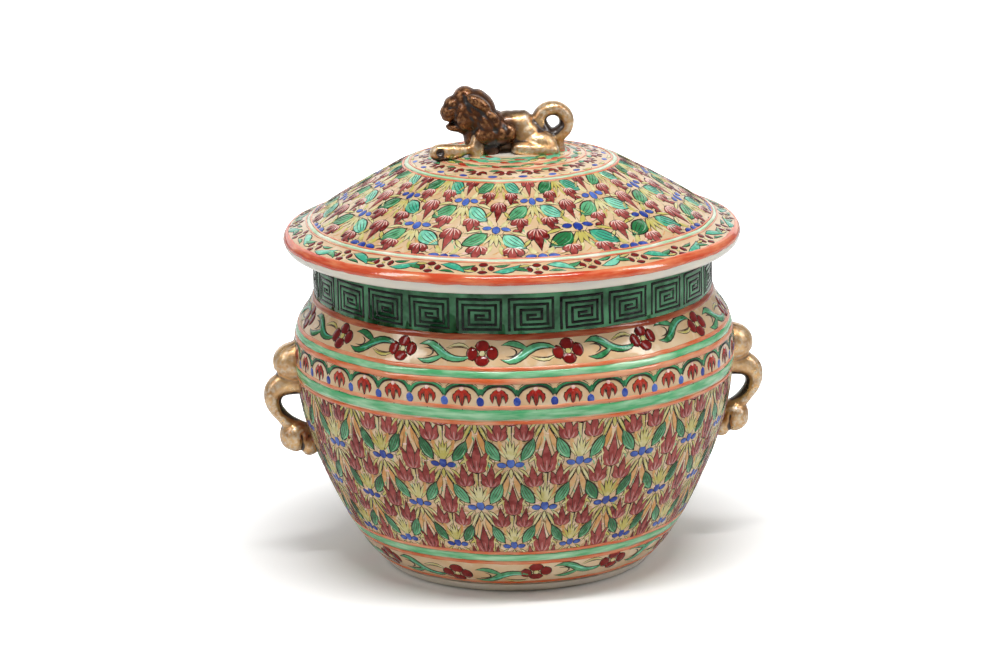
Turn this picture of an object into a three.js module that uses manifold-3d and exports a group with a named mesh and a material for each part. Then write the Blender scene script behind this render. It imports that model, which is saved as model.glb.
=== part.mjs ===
// A squat porcelain jar with a domed lid, painted in enamels, with two gilded handles and a gilded lion
// as the knob of the lid. Millimetres, +Z up. The origin is the centre of the underside of the foot.
// The handles lie along X and the lion looks towards -X.
import * as THREE from 'three';
import Module from 'manifold-3d';
import { mergeVertices } from 'three/addons/utils/BufferGeometryUtils.js';

const wasm = await Module();
wasm.setup();

// Fits between pieces
const seatGap = 0.3;
const flangeClearance = 1.0;

// Driving sizes of the jar
const footRadius = 50.6;
const footRingHeight = 3.4;
const footRingWidth = 5.0;
const bellyRadius = 83.6;
const bellyHeight = 84.5;
const shoulderHeight = 20.9;
const neckRadius = 75.3;
const neckHeight = 16.3;
const jarWall = 4.2;
const jarFloor = 5.0;
const lipRounding = 1.0;

// Driving sizes of the lid
const rimOverhang = 10.7;
const rimThickness = 8.0;
const domeRise = 27.9;
const lidWall = 4.6;
const flangeDepth = 8.2;
const flangeThickness = 3.5;

// Driving sizes of the handles
const handleReach = 12.6;
const handleHeight = 45.0;
const handleLeafWidth = 16.0;
const strapWidth = 10.0;

// Driving sizes of the lion
const lionLength = 54.4;
const tailWidth = 7.6;

// How finely round things are faceted
const turnSides = 48;
const ballSides = 12;
const ballRings = 8;
const roundSteps = 3;
const rimSteps = 6;
const tailSteps = 10;
const jarSteps = 22;
const domeSteps = 12;
const strapOuterSteps = 16;
const strapInnerSteps = 12;

// The turn at which the dome springs from the half round of the rim
const domeSpringTurn = (4 * Math.PI) / 9;

// How far the handles hang below the widest ring, as a share of their height
const handleDropShare = 0.944;

// Heights and radii that follow from the driving sizes
const bodyBottomHeight = footRingHeight + seatGap;
const jarFloorHeight = bodyBottomHeight + jarFloor;
const neckBottomHeight = bellyHeight + shoulderHeight;
const neckTopHeight = neckBottomHeight + neckHeight;
const neckInnerRadius = neckRadius - jarWall;
const seatHeight = neckTopHeight + seatGap;
const rimRadius = neckRadius + rimOverhang;
const flangeOuterRadius = neckInnerRadius - flangeClearance;
const flangeInnerRadius = flangeOuterRadius - flangeThickness;
const handleBottomHeight = bellyHeight - handleDropShare * handleHeight;

// Outline of the jar's outside, from the foot up to the widest ring: the share of the way out from the
// foot's radius to the belly's, and the share of the way up
const bellyShares = [
  [0, 0],
  [0.03, 0.015],
  [0.13, 0.06],
  [0.239, 0.105],
  [0.339, 0.168],
  [0.461, 0.249],
  [0.612, 0.37],
  [0.782, 0.528],
  [0.918, 0.708],
  [0.979, 0.865],
  [1, 1],
];

// The same for the shoulder: the share of the way in from the belly's radius to the neck's, and up
const shoulderShares = [
  [0.229, 0.455],
  [0.687, 0.746],
  [1, 1],
];

// Outline of the dome, from the rim up to the crown: the share of the rim's radius, and of the rise
const domeShares = [
  [0.929, 0.095],
  [0.822, 0.297],
  [0.726, 0.469],
  [0.605, 0.67],
  [0.492, 0.842],
  [0.363, 0.928],
  [0.181, 0.982],
  [0, 1],
];

// Outlines of a handle's strap: the share of its reach beyond the belly, and of the handle's height
const strapOuterShares = [
  [-0.5, 0.74],
  [-0.1, 0.752],
  [0.25, 0.76],
  [0.64, 0.718],
  [0.87, 0.66],
  [1, 0.567],
  [0.93, 0.456],
  [0.75, 0.373],
  [0.53, 0.302],
  [0.19, 0.233],
  [-0.5, 0.19],
];
const strapInnerShares = [
  [-0.5, 0.27],
  [-0.2, 0.283],
  [0.1, 0.318],
  [0.32, 0.373],
  [0.46, 0.433],
  [0.5, 0.493],
  [0.37, 0.54],
  [0.07, 0.553],
  [-0.5, 0.547],
];

// Leaves of a handle: middle out from the wall and up, then half sizes out, across and up. Out is a share
// of the reach, across a share of the leaf's width, up a share of the handle's height
const upperLeafShares = [0.0413, 0.811, 0.57, 0.5, 0.191];
const lowerLeafShares = [0.4596, 0.182, 0.525, 0.5, 0.129];
const smallLeafShares = [0.1523, 0.089, 0.32, 0.4, 0.089];

// Rounded lumps of the lion: middle along, across and up, then half sizes the same way, all shares of
// its length. Up is counted from the crown of the lid
const trunkShares = [-0.02, 0, 0.138, 0.257, 0.12, 0.134];
const rumpShares = [0.11, 0, 0.105, 0.16, 0.13, 0.147];
const chestShares = [-0.2, 0, 0.086, 0.13, 0.12, 0.138];
const maneShares = [-0.224, 0, 0.284, 0.154, 0.169, 0.165];
const ruffShares = [-0.193, 0, 0.151, 0.147, 0.158, 0.138];
const skullShares = [-0.358, 0, 0.298, 0.121, 0.11, 0.103];
const muzzleShares = [-0.408, 0, 0.252, 0.074, 0.081, 0.044];
const jawShares = [-0.382, 0, 0.175, 0.074, 0.07, 0.029];
const throatShares = [-0.285, 0, 0.156, 0.092, 0.101, 0.119];
const upperArmShares = [-0.23, 0.112, 0.07, 0.085, 0.064, 0.103];
const bentPawShares = [-0.23, 0.125, 0.017, 0.068, 0.059, 0.055];
const forearmShares = [-0.365, 0.108, 0.018, 0.135, 0.053, 0.048];
const stretchedPawShares = [-0.468, 0.13, 0.022, 0.074, 0.062, 0.057];
const thighShares = [0.165, 0.12, 0.066, 0.119, 0.075, 0.119];
const hindPawShares = [0.101, 0.151, 0, 0.138, 0.059, 0.048];
const tailRootShares = [0.39, 0, -0.028, 0.066, 0.077, 0.092];

// Rounding of the edges, as a share of the handle's height and of the lion's length, so that it stays
// under half of the thinnest place of the strap and of the tail
const strapRoundingShare = 0.036;
const tailRoundingShare = 0.022;

// Rings of the tail: middle along and up, then half sizes along and up
const tailOuterShares = [0.296, 0.178, 0.145, 0.147];
const tailHoleShares = [0.299, 0.171, 0.064, 0.072];

// Turns a closed geometry into a solid that can be joined and cut
function solidOf(geometry) {
  const bare = geometry.clone();
  bare.deleteAttribute('normal');
  bare.deleteAttribute('uv');
  const merged = mergeVertices(bare);
  const corners = merged.index.array;
  const kept = [];
  for (let i = 0; i < corners.length; i += 3) {
    const [a, b, c] = [corners[i], corners[i + 1], corners[i + 2]];
    if (a !== b && b !== c && c !== a) kept.push(a, b, c);
  }
  const vertProperties = new Float32Array(merged.attributes.position.array);
  return new wasm.Manifold(new wasm.Mesh({ numProp: 3, vertProperties, triVerts: new Uint32Array(kept) }));
}

// Turns a solid back into a geometry
function geometryOf(solid) {
  const mesh = solid.getMesh();
  const geometry = new THREE.BufferGeometry();
  geometry.setAttribute('position', new THREE.BufferAttribute(mesh.vertProperties, 3));
  geometry.setIndex(new THREE.BufferAttribute(mesh.triVerts, 1));
  geometry.computeVertexNormals();
  return geometry;
}

function joined(solids) {
  return solids.reduce((whole, next) => whole.add(next));
}

function cut(solid, tools) {
  return tools.reduce((left, tool) => left.subtract(tool), solid);
}

// The largest body of a solid, without crumbs that a cut leaves behind
function mainBody(solid) {
  const bodies = solid.decompose();
  return bodies.reduce((best, body) => (body.volume() > best.volume() ? body : best));
}

// Turned pieces: an outline of (radius, height) points spun about the upright axis
function turned(points) {
  return new THREE.LatheGeometry(points, turnSides).rotateX(Math.PI / 2);
}

function smoothThrough(points, steps) {
  return new THREE.SplineCurve(points).getPoints(steps);
}

// The same outline moved inwards by a wall, or outwards where the wall is negative
function inset(points, wall) {
  return points.map((point, i) => {
    const before = points[Math.max(i - 1, 0)];
    const after = points[Math.min(i + 1, points.length - 1)];
    const along = after.clone().sub(before).normalize();
    return new THREE.Vector2(point.x - along.y * wall, point.y + along.x * wall);
  });
}

// The stretch of a rising outline above a height, with a point on the height itself
function above(points, height) {
  const first = points.findIndex((point) => point.y > height);
  const low = points[Math.max(first - 1, 0)];
  const high = points[first];
  const share = first > 0 ? (height - low.y) / (high.y - low.y) : 0;
  return [low.clone().lerp(high, share), ...points.slice(first)];
}

function below(points, height) {
  const kept = points.filter((point) => point.y < height);
  const low = kept[kept.length - 1];
  const high = points[kept.length];
  const share = (height - low.y) / (high.y - low.y);
  return [...kept, low.clone().lerp(high, share)];
}

// A rounded lump, grown all round where another piece is to clear it
function ball(middle, half, grow) {
  const geometry = new THREE.SphereGeometry(1, ballSides, ballRings).rotateX(Math.PI / 2);
  geometry.scale(half.x + grow, half.y + grow, half.z + grow);
  geometry.translate(middle.x, middle.y, middle.z);
  return solidOf(geometry);
}

// An upright outline in the plane of X and Z, given thickness along Y, with rounded edges
function slab(shape, width, rounding, grow) {
  const geometry = new THREE.ExtrudeGeometry(shape, {
    depth: width - 2 * rounding,
    bevelThickness: rounding + grow,
    bevelSize: rounding,
    bevelOffset: grow - rounding,
    bevelSegments: roundSteps,
    curveSegments: tailSteps,
  });
  geometry.rotateX(Math.PI / 2);
  geometry.translate(0, width / 2 - rounding, 0);
  return solidOf(geometry);
}

// Outside of the jar as one smooth outline, from the table up to the foot of the neck
function jarOutline() {
  const outwards = bellyRadius - footRadius;
  const inwards = bellyRadius - neckRadius;
  const belly = bellyShares.map(
    ([out, up]) => new THREE.Vector2(footRadius + out * outwards, up * bellyHeight),
  );
  const shoulder = shoulderShares.map(
    ([back, up]) => new THREE.Vector2(bellyRadius - back * inwards, bellyHeight + up * shoulderHeight),
  );
  return smoothThrough([...belly, ...shoulder], jarSteps);
}

// The body up to the lip. Its inside takes every other point of the outline, moved in by the wall
function jarBody() {
  const outside = above(jarOutline(), bodyBottomHeight);
  const inside = above(inset(jarOutline(), jarWall), jarFloorHeight).filter((point, i) => i % 2 === 0);
  return turned([
    new THREE.Vector2(0, bodyBottomHeight),
    ...outside,
    new THREE.Vector2(neckRadius, neckTopHeight - lipRounding),
    new THREE.Vector2(neckRadius - lipRounding, neckTopHeight),
    new THREE.Vector2(neckInnerRadius + lipRounding, neckTopHeight),
    new THREE.Vector2(neckInnerRadius, neckTopHeight - lipRounding),
    new THREE.Vector2(neckInnerRadius, neckBottomHeight),
    ...inside.reverse().slice(1),
    new THREE.Vector2(0, jarFloorHeight),
  ]);
}

function footRing() {
  const outside = below(jarOutline(), footRingHeight);
  const innerRadius = footRadius - footRingWidth;
  return turned([
    new THREE.Vector2(innerRadius, footRingHeight),
    new THREE.Vector2(innerRadius, 0),
    ...outside,
    new THREE.Vector2(innerRadius, footRingHeight),
  ]);
}

// The lid's rim is a half round, and the dome springs from its top
function rimOutline() {
  const rounding = rimThickness / 2;
  const arc = new THREE.EllipseCurve(
    rimRadius - rounding,
    seatHeight + rounding,
    rounding,
    rounding,
    -Math.PI / 2,
    domeSpringTurn,
  );
  return arc.getPoints(rimSteps);
}

function domeOutline() {
  const edge = rimOutline().pop();
  const points = domeShares.map(([out, up]) => new THREE.Vector2(edge.x * out, edge.y + domeRise * up));
  return smoothThrough([edge, ...points], domeSteps);
}

// The dome and its rim. The hollow keeps clear of the locating ring by as much as that ring is thick
function lidDome() {
  const hollowRadius = flangeInnerRadius - flangeThickness;
  const inside = inset(domeOutline(), lidWall).filter((point) => point.x < hollowRadius);
  inside[inside.length - 1].x = 0;
  return turned([
    ...inside.reverse(),
    new THREE.Vector2(flangeInnerRadius, seatHeight),
    ...rimOutline(),
    ...domeOutline().slice(1),
  ]);
}

function lidFlange() {
  const topHeight = seatHeight - seatGap;
  const bottomHeight = topHeight - flangeDepth;
  return turned([
    new THREE.Vector2(flangeInnerRadius, topHeight),
    new THREE.Vector2(flangeInnerRadius, bottomHeight),
    new THREE.Vector2(flangeOuterRadius - lipRounding, bottomHeight),
    new THREE.Vector2(flangeOuterRadius, bottomHeight + lipRounding),
    new THREE.Vector2(flangeOuterRadius, topHeight),
    new THREE.Vector2(flangeInnerRadius, topHeight),
  ]);
}

// What the handles and the lion have to clear: the jar and the lid as full shapes, grown by the gap
function jarClearance() {
  const outside = inset(jarOutline(), -seatGap);
  return solidOf(turned([new THREE.Vector2(0, 0), ...outside, new THREE.Vector2(0, neckBottomHeight)]));
}

function lidClearance() {
  const outside = inset(domeOutline(), -seatGap);
  outside[outside.length - 1].x = 0;
  return solidOf(turned([new THREE.Vector2(0, seatHeight), ...outside]));
}

// A place on a handle, from shares of its reach and height
function handlePlace(out, up) {
  return new THREE.Vector2(bellyRadius + out * handleReach, handleBottomHeight + up * handleHeight);
}

function strap(grow) {
  const outer = smoothThrough(strapOuterShares.map(([out, up]) => handlePlace(out, up)), strapOuterSteps);
  const inner = smoothThrough(strapInnerShares.map(([out, up]) => handlePlace(out, up)), strapInnerSteps);
  const rounding = strapRoundingShare * handleHeight;
  return slab(new THREE.Shape([...outer, ...inner]), strapWidth, rounding, grow);
}

// Radius of the jar's outside at a height
function wallRadius(height) {
  return above(jarOutline(), height)[0].x;
}

// A leaf stands out from the wall at its own height
function leaf([out, up, halfOut, halfAcross, halfUp], grow) {
  const height = handleBottomHeight + up * handleHeight;
  const middle = new THREE.Vector3(wallRadius(height) + out * handleReach, 0, height);
  const half = new THREE.Vector3(halfOut * handleReach, halfAcross * handleLeafWidth, halfUp * handleHeight);
  return ball(middle, half, grow);
}

// The four pieces of the right handle, each cleared of the jar and of the pieces before it
function handlePieces() {
  const wall = jarClearance();
  return {
    handle_loop: mainBody(cut(strap(0), [wall])),
    handle_upper_leaf: mainBody(cut(leaf(upperLeafShares, 0), [wall, strap(seatGap)])),
    handle_lower_leaf: mainBody(cut(leaf(lowerLeafShares, 0), [wall, strap(seatGap)])),
    handle_small_leaf: mainBody(
      cut(leaf(smallLeafShares, 0), [wall, strap(seatGap), leaf(lowerLeafShares, seatGap)]),
    ),
  };
}

function crownHeight() {
  return domeOutline().pop().y;
}

// A lump of the lion. A side of -1 is the lion's left, towards -Y, and 1 its right
function lump([along, across, up, halfAlong, halfAcross, halfUp], grow, side = 1) {
  const middle = new THREE.Vector3(along, across * side, up).multiplyScalar(lionLength);
  middle.z += crownHeight();
  return ball(middle, new THREE.Vector3(halfAlong, halfAcross, halfUp).multiplyScalar(lionLength), grow);
}

function ellipse(path, [along, up, halfAlong, halfUp], clockwise) {
  const x = along * lionLength;
  const y = crownHeight() + up * lionLength;
  return path.absellipse(x, y, halfAlong * lionLength, halfUp * lionLength, 0, 2 * Math.PI, clockwise, 0);
}

function tail() {
  const ring = ellipse(new THREE.Shape(), tailOuterShares, false);
  ring.holes.push(ellipse(new THREE.Path(), tailHoleShares, true));
  return joined([slab(ring, tailWidth, tailRoundingShare * lionLength, 0), lump(tailRootShares, 0)]);
}

// What the rest of the lion clears round the tail: the ring filled in, so that nothing reaches into it
function tailClearance() {
  const disc = ellipse(new THREE.Shape(), tailOuterShares, false);
  const rounding = tailRoundingShare * lionLength;
  return joined([slab(disc, tailWidth, rounding, seatGap), lump(tailRootShares, seatGap)]);
}

function trunk(grow) {
  return joined([trunkShares, rumpShares, chestShares].map((shares) => lump(shares, grow)));
}

function head(grow) {
  const shares = [maneShares, ruffShares, skullShares, muzzleShares, jawShares, throatShares];
  return joined(shares.map((each) => lump(each, grow)));
}

function bentForeleg(grow) {
  return joined([upperArmShares, bentPawShares].map((shares) => lump(shares, grow)));
}

function stretchedForeleg(grow) {
  return joined([upperArmShares, forearmShares, stretchedPawShares].map((shares) => lump(shares, grow, -1)));
}

function hindLeg(side, grow) {
  return joined([thighShares, hindPawShares].map((shares) => lump(shares, grow, side)));
}

// The pieces of the lion, each cleared of the lid and of the pieces before it
function lionPieces() {
  const lid = lidClearance();
  const grownTail = tailClearance();
  const grownTrunk = trunk(seatGap);
  const grownHead = head(seatGap);
  return {
    lion_tail: mainBody(cut(tail(), [lid])),
    lion_body: mainBody(cut(trunk(0), [lid, grownTail])),
    lion_head: mainBody(cut(head(0), [lid, grownTrunk])),
    lion_left_foreleg: mainBody(cut(stretchedForeleg(0), [lid, grownTrunk, grownHead])),
    lion_right_foreleg: mainBody(cut(bentForeleg(0), [lid, grownTrunk, grownHead])),
    lion_left_hind_leg: mainBody(cut(hindLeg(-1, 0), [lid, grownTrunk, grownTail])),
    lion_right_hind_leg: mainBody(cut(hindLeg(1, 0), [lid, grownTrunk, grownTail])),
  };
}

const jar = new THREE.Group();

function addPiece(name, geometry, colour, roughness, metalness, turn = 0) {
  const material = new THREE.MeshStandardMaterial({ color: colour, roughness, metalness });
  const piece = new THREE.Mesh(geometry, material);
  piece.name = name;
  piece.rotation.z = turn;
  jar.add(piece);
}

function addPorcelain(name, geometry, colour) {
  addPiece(name, geometry, colour, 0.2, 0);
}

function addGilt(name, solid, colour, turn) {
  addPiece(name, geometryOf(solid), colour, 0.35, 0.8, turn);
}

addPorcelain('jar_body', jarBody(), '#dcb88c');
addPorcelain('foot_ring', footRing(), '#d8c4a4');
addPorcelain('lid_dome', lidDome(), '#e0bd92');
addPorcelain('lid_flange', lidFlange(), '#d9d2c4');

for (const [name, solid] of Object.entries(handlePieces())) {
  addGilt(`left_${name}`, solid, '#b5834a', Math.PI);
  addGilt(`right_${name}`, solid, '#b5834a', 0);
}

for (const [name, solid] of Object.entries(lionPieces())) {
  addGilt(name, solid, name === 'lion_head' ? '#5a351b' : '#c08d4c', 0);
}

export default jar;
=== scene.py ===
# %% [markdown]
# This notebook dresses a covered jar of enamelled porcelain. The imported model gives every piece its
# place, so the notebook only makes finer meshes and finishes around it. All lengths are metres, with
# readings written in millimetres and turned by `mm`. The jar stands on the floor at height zero, its
# handles lie along X, and the lion on the lid looks towards -X.

import math

import bmesh
import bpy
import numpy as np
from mathutils import Matrix, Vector


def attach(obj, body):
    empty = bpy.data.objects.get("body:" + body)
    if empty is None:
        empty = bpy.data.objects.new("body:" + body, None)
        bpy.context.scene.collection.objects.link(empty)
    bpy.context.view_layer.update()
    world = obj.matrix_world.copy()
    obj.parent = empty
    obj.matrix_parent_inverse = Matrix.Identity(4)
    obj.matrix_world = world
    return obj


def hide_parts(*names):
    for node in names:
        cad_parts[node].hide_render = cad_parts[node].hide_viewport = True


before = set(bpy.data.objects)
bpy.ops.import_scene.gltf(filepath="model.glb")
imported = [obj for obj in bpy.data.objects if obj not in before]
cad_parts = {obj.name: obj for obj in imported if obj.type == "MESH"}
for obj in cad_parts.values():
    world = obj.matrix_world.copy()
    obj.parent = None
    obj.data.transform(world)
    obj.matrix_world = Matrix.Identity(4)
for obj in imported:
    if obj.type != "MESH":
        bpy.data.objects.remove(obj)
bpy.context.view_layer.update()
mm = 0.001

# %% [markdown]
# The camera stands where the photographer stood. A long lens far away keeps the rings of the jar nearly
# parallel. The numbers come from fitting the ten painted rings and the outline of the jar, so the
# camera is built from them and not turned by eye.

# %% Camera
camera_distance = 1378.5 * mm
camera_pitch = math.radians(14.4)
camera_roll = math.radians(-1.19)
jar_turn = math.radians(5.5)
aim_height = 94.36 * mm
aim_side = 5.07 * mm
aim_rise = 7.60 * mm
lens_length = 130.59


def place_camera():
    """The camera at the photographer's place, looking along the fitted line of sight."""
    tilt = Matrix.Rotation(camera_roll, 3, "Y") @ Matrix.Rotation(camera_pitch, 3, "X")
    to_jar = Matrix.Rotation(-jar_turn, 3, "Z") @ tilt.transposed()
    place = to_jar @ Vector((-aim_side, -camera_distance, -aim_rise)) + Vector((0, 0, aim_height))
    right, forward, up = (to_jar @ Vector(axis) for axis in ((1, 0, 0), (0, 1, 0), (0, 0, 1)))
    data = bpy.data.cameras.new("camera")
    data.lens = lens_length
    data.sensor_width = 36
    camera = bpy.data.objects.new("camera", data)
    turn = Matrix((right, up, -forward)).transposed()
    camera.matrix_world = Matrix.Translation(place) @ turn.to_4x4()
    bpy.context.scene.collection.objects.link(camera)
    bpy.context.scene.camera = camera
    return camera


camera = place_camera()
facing_angle = -math.pi / 2 - jar_turn
print("camera height, mm:", round(camera.matrix_world.translation.z / mm, 1))

# %% [markdown]
# Materials are built from nodes. One function adds a node, sets its options and its inputs, and links
# what is given as a socket. Colours are written as sRGB hex values, which the eye and a colour picker
# use, and turned to the linear values that the renderer adds up.

# %% Node and colour helpers
def feed(tree, node, inputs):
    """Sets inputs by name or number, each to a value or to a socket to link from."""
    for key, value in inputs.items():
        if isinstance(value, bpy.types.NodeSocket):
            tree.links.new(value, node.inputs[key])
        else:
            node.inputs[key].default_value = value


def add_node(tree, kind, inputs=None, **options):
    node = tree.nodes.new(kind)
    for option, value in options.items():
        setattr(node, option, value)
    feed(tree, node, inputs or {})
    return node


def linear(code):
    """An sRGB hex colour such as #AABBCC as linear red, green, blue and alpha."""
    parts = [int(code[i:i + 2], 16) / 255 for i in (1, 3, 5)]
    return [p / 12.92 if p <= 0.04045 else ((p + 0.055) / 1.055) ** 2.4 for p in parts] + [1.0]


def new_material(name):
    """An empty material: its node tree, its shader, and its Object coordinates."""
    material = bpy.data.materials.new(name)
    material.use_nodes = True
    tree = material.node_tree
    tree.nodes.clear()
    shader = add_node(tree, "ShaderNodeBsdfPrincipled")
    add_node(tree, "ShaderNodeOutputMaterial", {"Surface": shader.outputs["BSDF"]})
    place = add_node(tree, "ShaderNodeTexCoord").outputs["Object"]
    return material, tree, shader, place


def sum_of(tree, operation, first, second=0.0, clamp=False):
    """One step of arithmetic with two numbers or sockets."""
    inputs = {0: first, 1: second}
    return add_node(tree, "ShaderNodeMath", inputs, operation=operation, use_clamp=clamp).outputs[0]


def ranged(tree, value, low, high, to_low=0.0, to_high=1.0, **options):
    """A value moved from one range to another and held inside it."""
    inputs = {"Value": value, "From Min": low, "From Max": high, "To Min": to_low, "To Max": to_high}
    return add_node(tree, "ShaderNodeMapRange", inputs, **options).outputs["Result"]


def mottle(tree, place, size, low, high, detail=3.0):
    """Soft patches of about a size, from 0 to 1 between two levels of the noise."""
    inputs = {"Vector": place, "Scale": 1 / size, "Detail": detail}
    return ranged(tree, add_node(tree, "ShaderNodeTexNoise", inputs).outputs["Fac"], low, high)


def blended(tree, share, first, second):
    """The colour between two, each a hex code or a socket."""
    inputs = {"Factor": share}
    for key, colour in ((6, first), (7, second)):
        inputs[key] = linear(colour) if isinstance(colour, str) else colour
    return add_node(tree, "ShaderNodeMix", inputs, data_type="RGBA").outputs[2]


def relief(tree, height, depth):
    """A bump whose full height is a depth in metres."""
    inputs = {"Height": height, "Distance": depth, "Strength": 1.0}
    return add_node(tree, "ShaderNodeBump", inputs).outputs["Normal"]


def attribute(tree, name):
    return add_node(tree, "ShaderNodeAttribute", attribute_name=name).outputs["Fac"]


# %% [markdown]
# The ground of the painting is a peach enamel that is brushed over the white glaze and fired until it
# shines. It covers unevenly: it pools a little darker, lets the white through in paler clouds, and
# carries the fine ripples of the brush. The attribute `painted` says where the ground is, and the rest
# of the piece shows the plain clear glaze, which is a slightly grey white.

# %% Glazed porcelain with its painted ground
def glazed_porcelain():
    material, tree, shader, place = new_material("glazed porcelain with peach ground enamel")
    ground = blended(tree, mottle(tree, place, 22 * mm, 0.34, 0.68, 5.0), "#D2AE82", "#DFC6A2")
    ground = blended(tree, mottle(tree, place, 9 * mm, 0.5, 0.85), ground, "#CF9F6C")
    ground = blended(tree, mottle(tree, place, 6 * mm, 0.56, 0.9), ground, "#EFE2CC")
    white = blended(tree, mottle(tree, place, 20 * mm, 0.35, 0.7), "#EDE5D4", "#DAD7CE")
    ripples = mottle(tree, place, 2.2 * mm, 0.3, 0.7, 2.0)
    feed(tree, shader, {
        "Base Color": blended(tree, attribute(tree, "painted"), white, ground),
        "Normal": relief(tree, ripples, 0.022 * mm), "Roughness": 0.12, "IOR": 1.52,
    })
    return material


# %% [markdown]
# Where the piece stood in the kiln it has no glaze. Biscuit porcelain is matt, a little rough to the
# touch, and stained warm by the fire and by handling.

# %% Biscuit porcelain
def biscuit_porcelain():
    material, tree, shader, place = new_material("unglazed biscuit porcelain")
    grit = mottle(tree, place, 0.5 * mm, 0.3, 0.7, 2.0)
    feed(tree, shader, {
        "Base Color": blended(tree, mottle(tree, place, 9 * mm, 0.4, 0.7), "#D9CDB8", "#BFA886"),
        "Normal": relief(tree, grit, 0.05 * mm), "Roughness": 0.75, "IOR": 1.5,
    })
    return material


# %% [markdown]
# The lion and the handles are gilded: a thin coat of gold is fired over the glaze. It is bright where
# fingers burnish it, worn to the pale clay along the ridges, and darker in the hollows with old dirt
# and painted shade. The attribute `hollow` is measured on each mesh below, 0.5 on even ground, more in
# the hollows and less on the ridges; painted shade is added to it in creases, under parts and inside
# loops, and painted highlight is taken from it on a few lit places. The attribute `browned` says where
# a darker gilding runs over into the bright one, and on one foreleg it is painted shade under the mane.

# %% Worn gilding
def worn_gilding(name, bright, deep, dirt_and_shade, rubbed, dirt_and_shade_from, coat):
    material, tree, shader, place = new_material(name)
    hollow = attribute(tree, "hollow")
    patches = mottle(tree, place, 4.5 * mm, 0.36, 0.66)
    speckle = mottle(tree, place, 1.3 * mm, 0.4, 0.75)
    worn = sum_of(tree, "MULTIPLY", ranged(tree, hollow, 0.46, 0.24), speckle)
    # Dirt and painted shade: darker where the hollow is deeper or where painted shade is laid in.
    low = ranged(tree, hollow, dirt_and_shade_from, 0.86)
    gold = blended(tree, worn, blended(tree, patches, bright, deep), rubbed)
    gold = blended(tree, attribute(tree, "browned"), gold, "#482812")
    cover = sum_of(tree, "ADD", low, worn, clamp=True)
    grain = mottle(tree, place, 0.8 * mm, 0.3, 0.7, 2.0)
    feed(tree, shader, {
        "Base Color": blended(tree, low, gold, dirt_and_shade),
        "Metallic": ranged(tree, cover, 0.0, 1.0, 0.85, 0.1),
        "Roughness": ranged(tree, patches, 0.0, 1.0, 0.27, 0.42),
        "Normal": relief(tree, grain, 0.06 * mm), "Coat Weight": coat, "Coat Roughness": 0.08,
    })
    return material


porcelain = glazed_porcelain()
biscuit = biscuit_porcelain()
# The third colour of each gilding is for dirt and painted shade in the hollows.
gilding = worn_gilding(
    "worn gilding over porcelain", "#E2B880", "#B08050", "#33231A", "#DDD2BC", 0.62, 0.6
)
dark_gilding = worn_gilding(
    "browned gilding of the mane", "#683C1E", "#40230F", "#180D08", "#B07A48", 0.54, 0.25
)
print("materials:", [material.name for material in bpy.data.materials])

# %% [markdown]
# The jar and the lid are thrown on a wheel, so each is one outline turned about the upright axis. The
# outline is read at a few places and drawn smoothly through them. A section that starts on the axis
# below, goes out, up and back to the axis above makes a closed wall whose faces point outwards.

# %% Outlines
jar_side = [
    (50.6, 0), (51.6, 1.3), (54.9, 5.1), (58.5, 8.9), (61.8, 14.2), (65.8, 21), (70.8, 31.3),
    (76.4, 44.6), (80.9, 59.8), (82.9, 73.1), (83.6, 84.5), (81.7, 94), (77.9, 100.1), (75.3, 105.4),
]
lid_top = [
    (76.8, 132.6), (68, 138.2), (60, 143), (50, 148.6), (40.7, 153.4), (30, 155.8), (15, 157.3),
    (0, 157.8),
]
wall = 4.2
lid_wall = 4.6
floor_top = 8.7
floor_rounding = 1.5
foot_joint = 3.55
foot_ring_inner = 45.6
foot_bevel = 0.8
neck_top = 121.7
seat = 122.0
rim_radius = 86.0
rim_rounding = 4.0
lip_rounding = 1.0
ring_outer = 70.1
ring_inner = 66.6
ring_bottom = 113.5
ring_root = 0.2


def smooth_through(points, step=1.0):
    """A smooth curve through the points, with a point about every step."""
    points = [np.array(point, float) for point in points]
    padded = [points[0], *points, points[-1]]
    found = [points[0]]
    for before, start, end, after in zip(padded, padded[1:], padded[2:], padded[3:]):
        count = max(int(np.linalg.norm(end - start) / step), 2)
        for t in np.arange(1, count + 1) / count:
            found.append(0.5 * (
                2 * start + (end - before) * t
                + (2 * before - 5 * start + 4 * end - after) * t ** 2
                + (3 * start - before - 3 * end + after) * t ** 3
            ))
    return np.array(found)


def arc(centre, radius, start, end, count=10):
    """Points of an arc between two angles in degrees."""
    angles = np.radians(np.linspace(start, end, count))
    return np.c_[centre[0] + radius * np.cos(angles), centre[1] + radius * np.sin(angles)]


def moved_in(points, depth):
    """The outline moved inwards by the thickness of the wall."""
    along = np.gradient(points, axis=0)
    along /= np.linalg.norm(along, axis=1)[:, None]
    return points + depth * np.c_[-along[:, 1], along[:, 0]]


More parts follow.
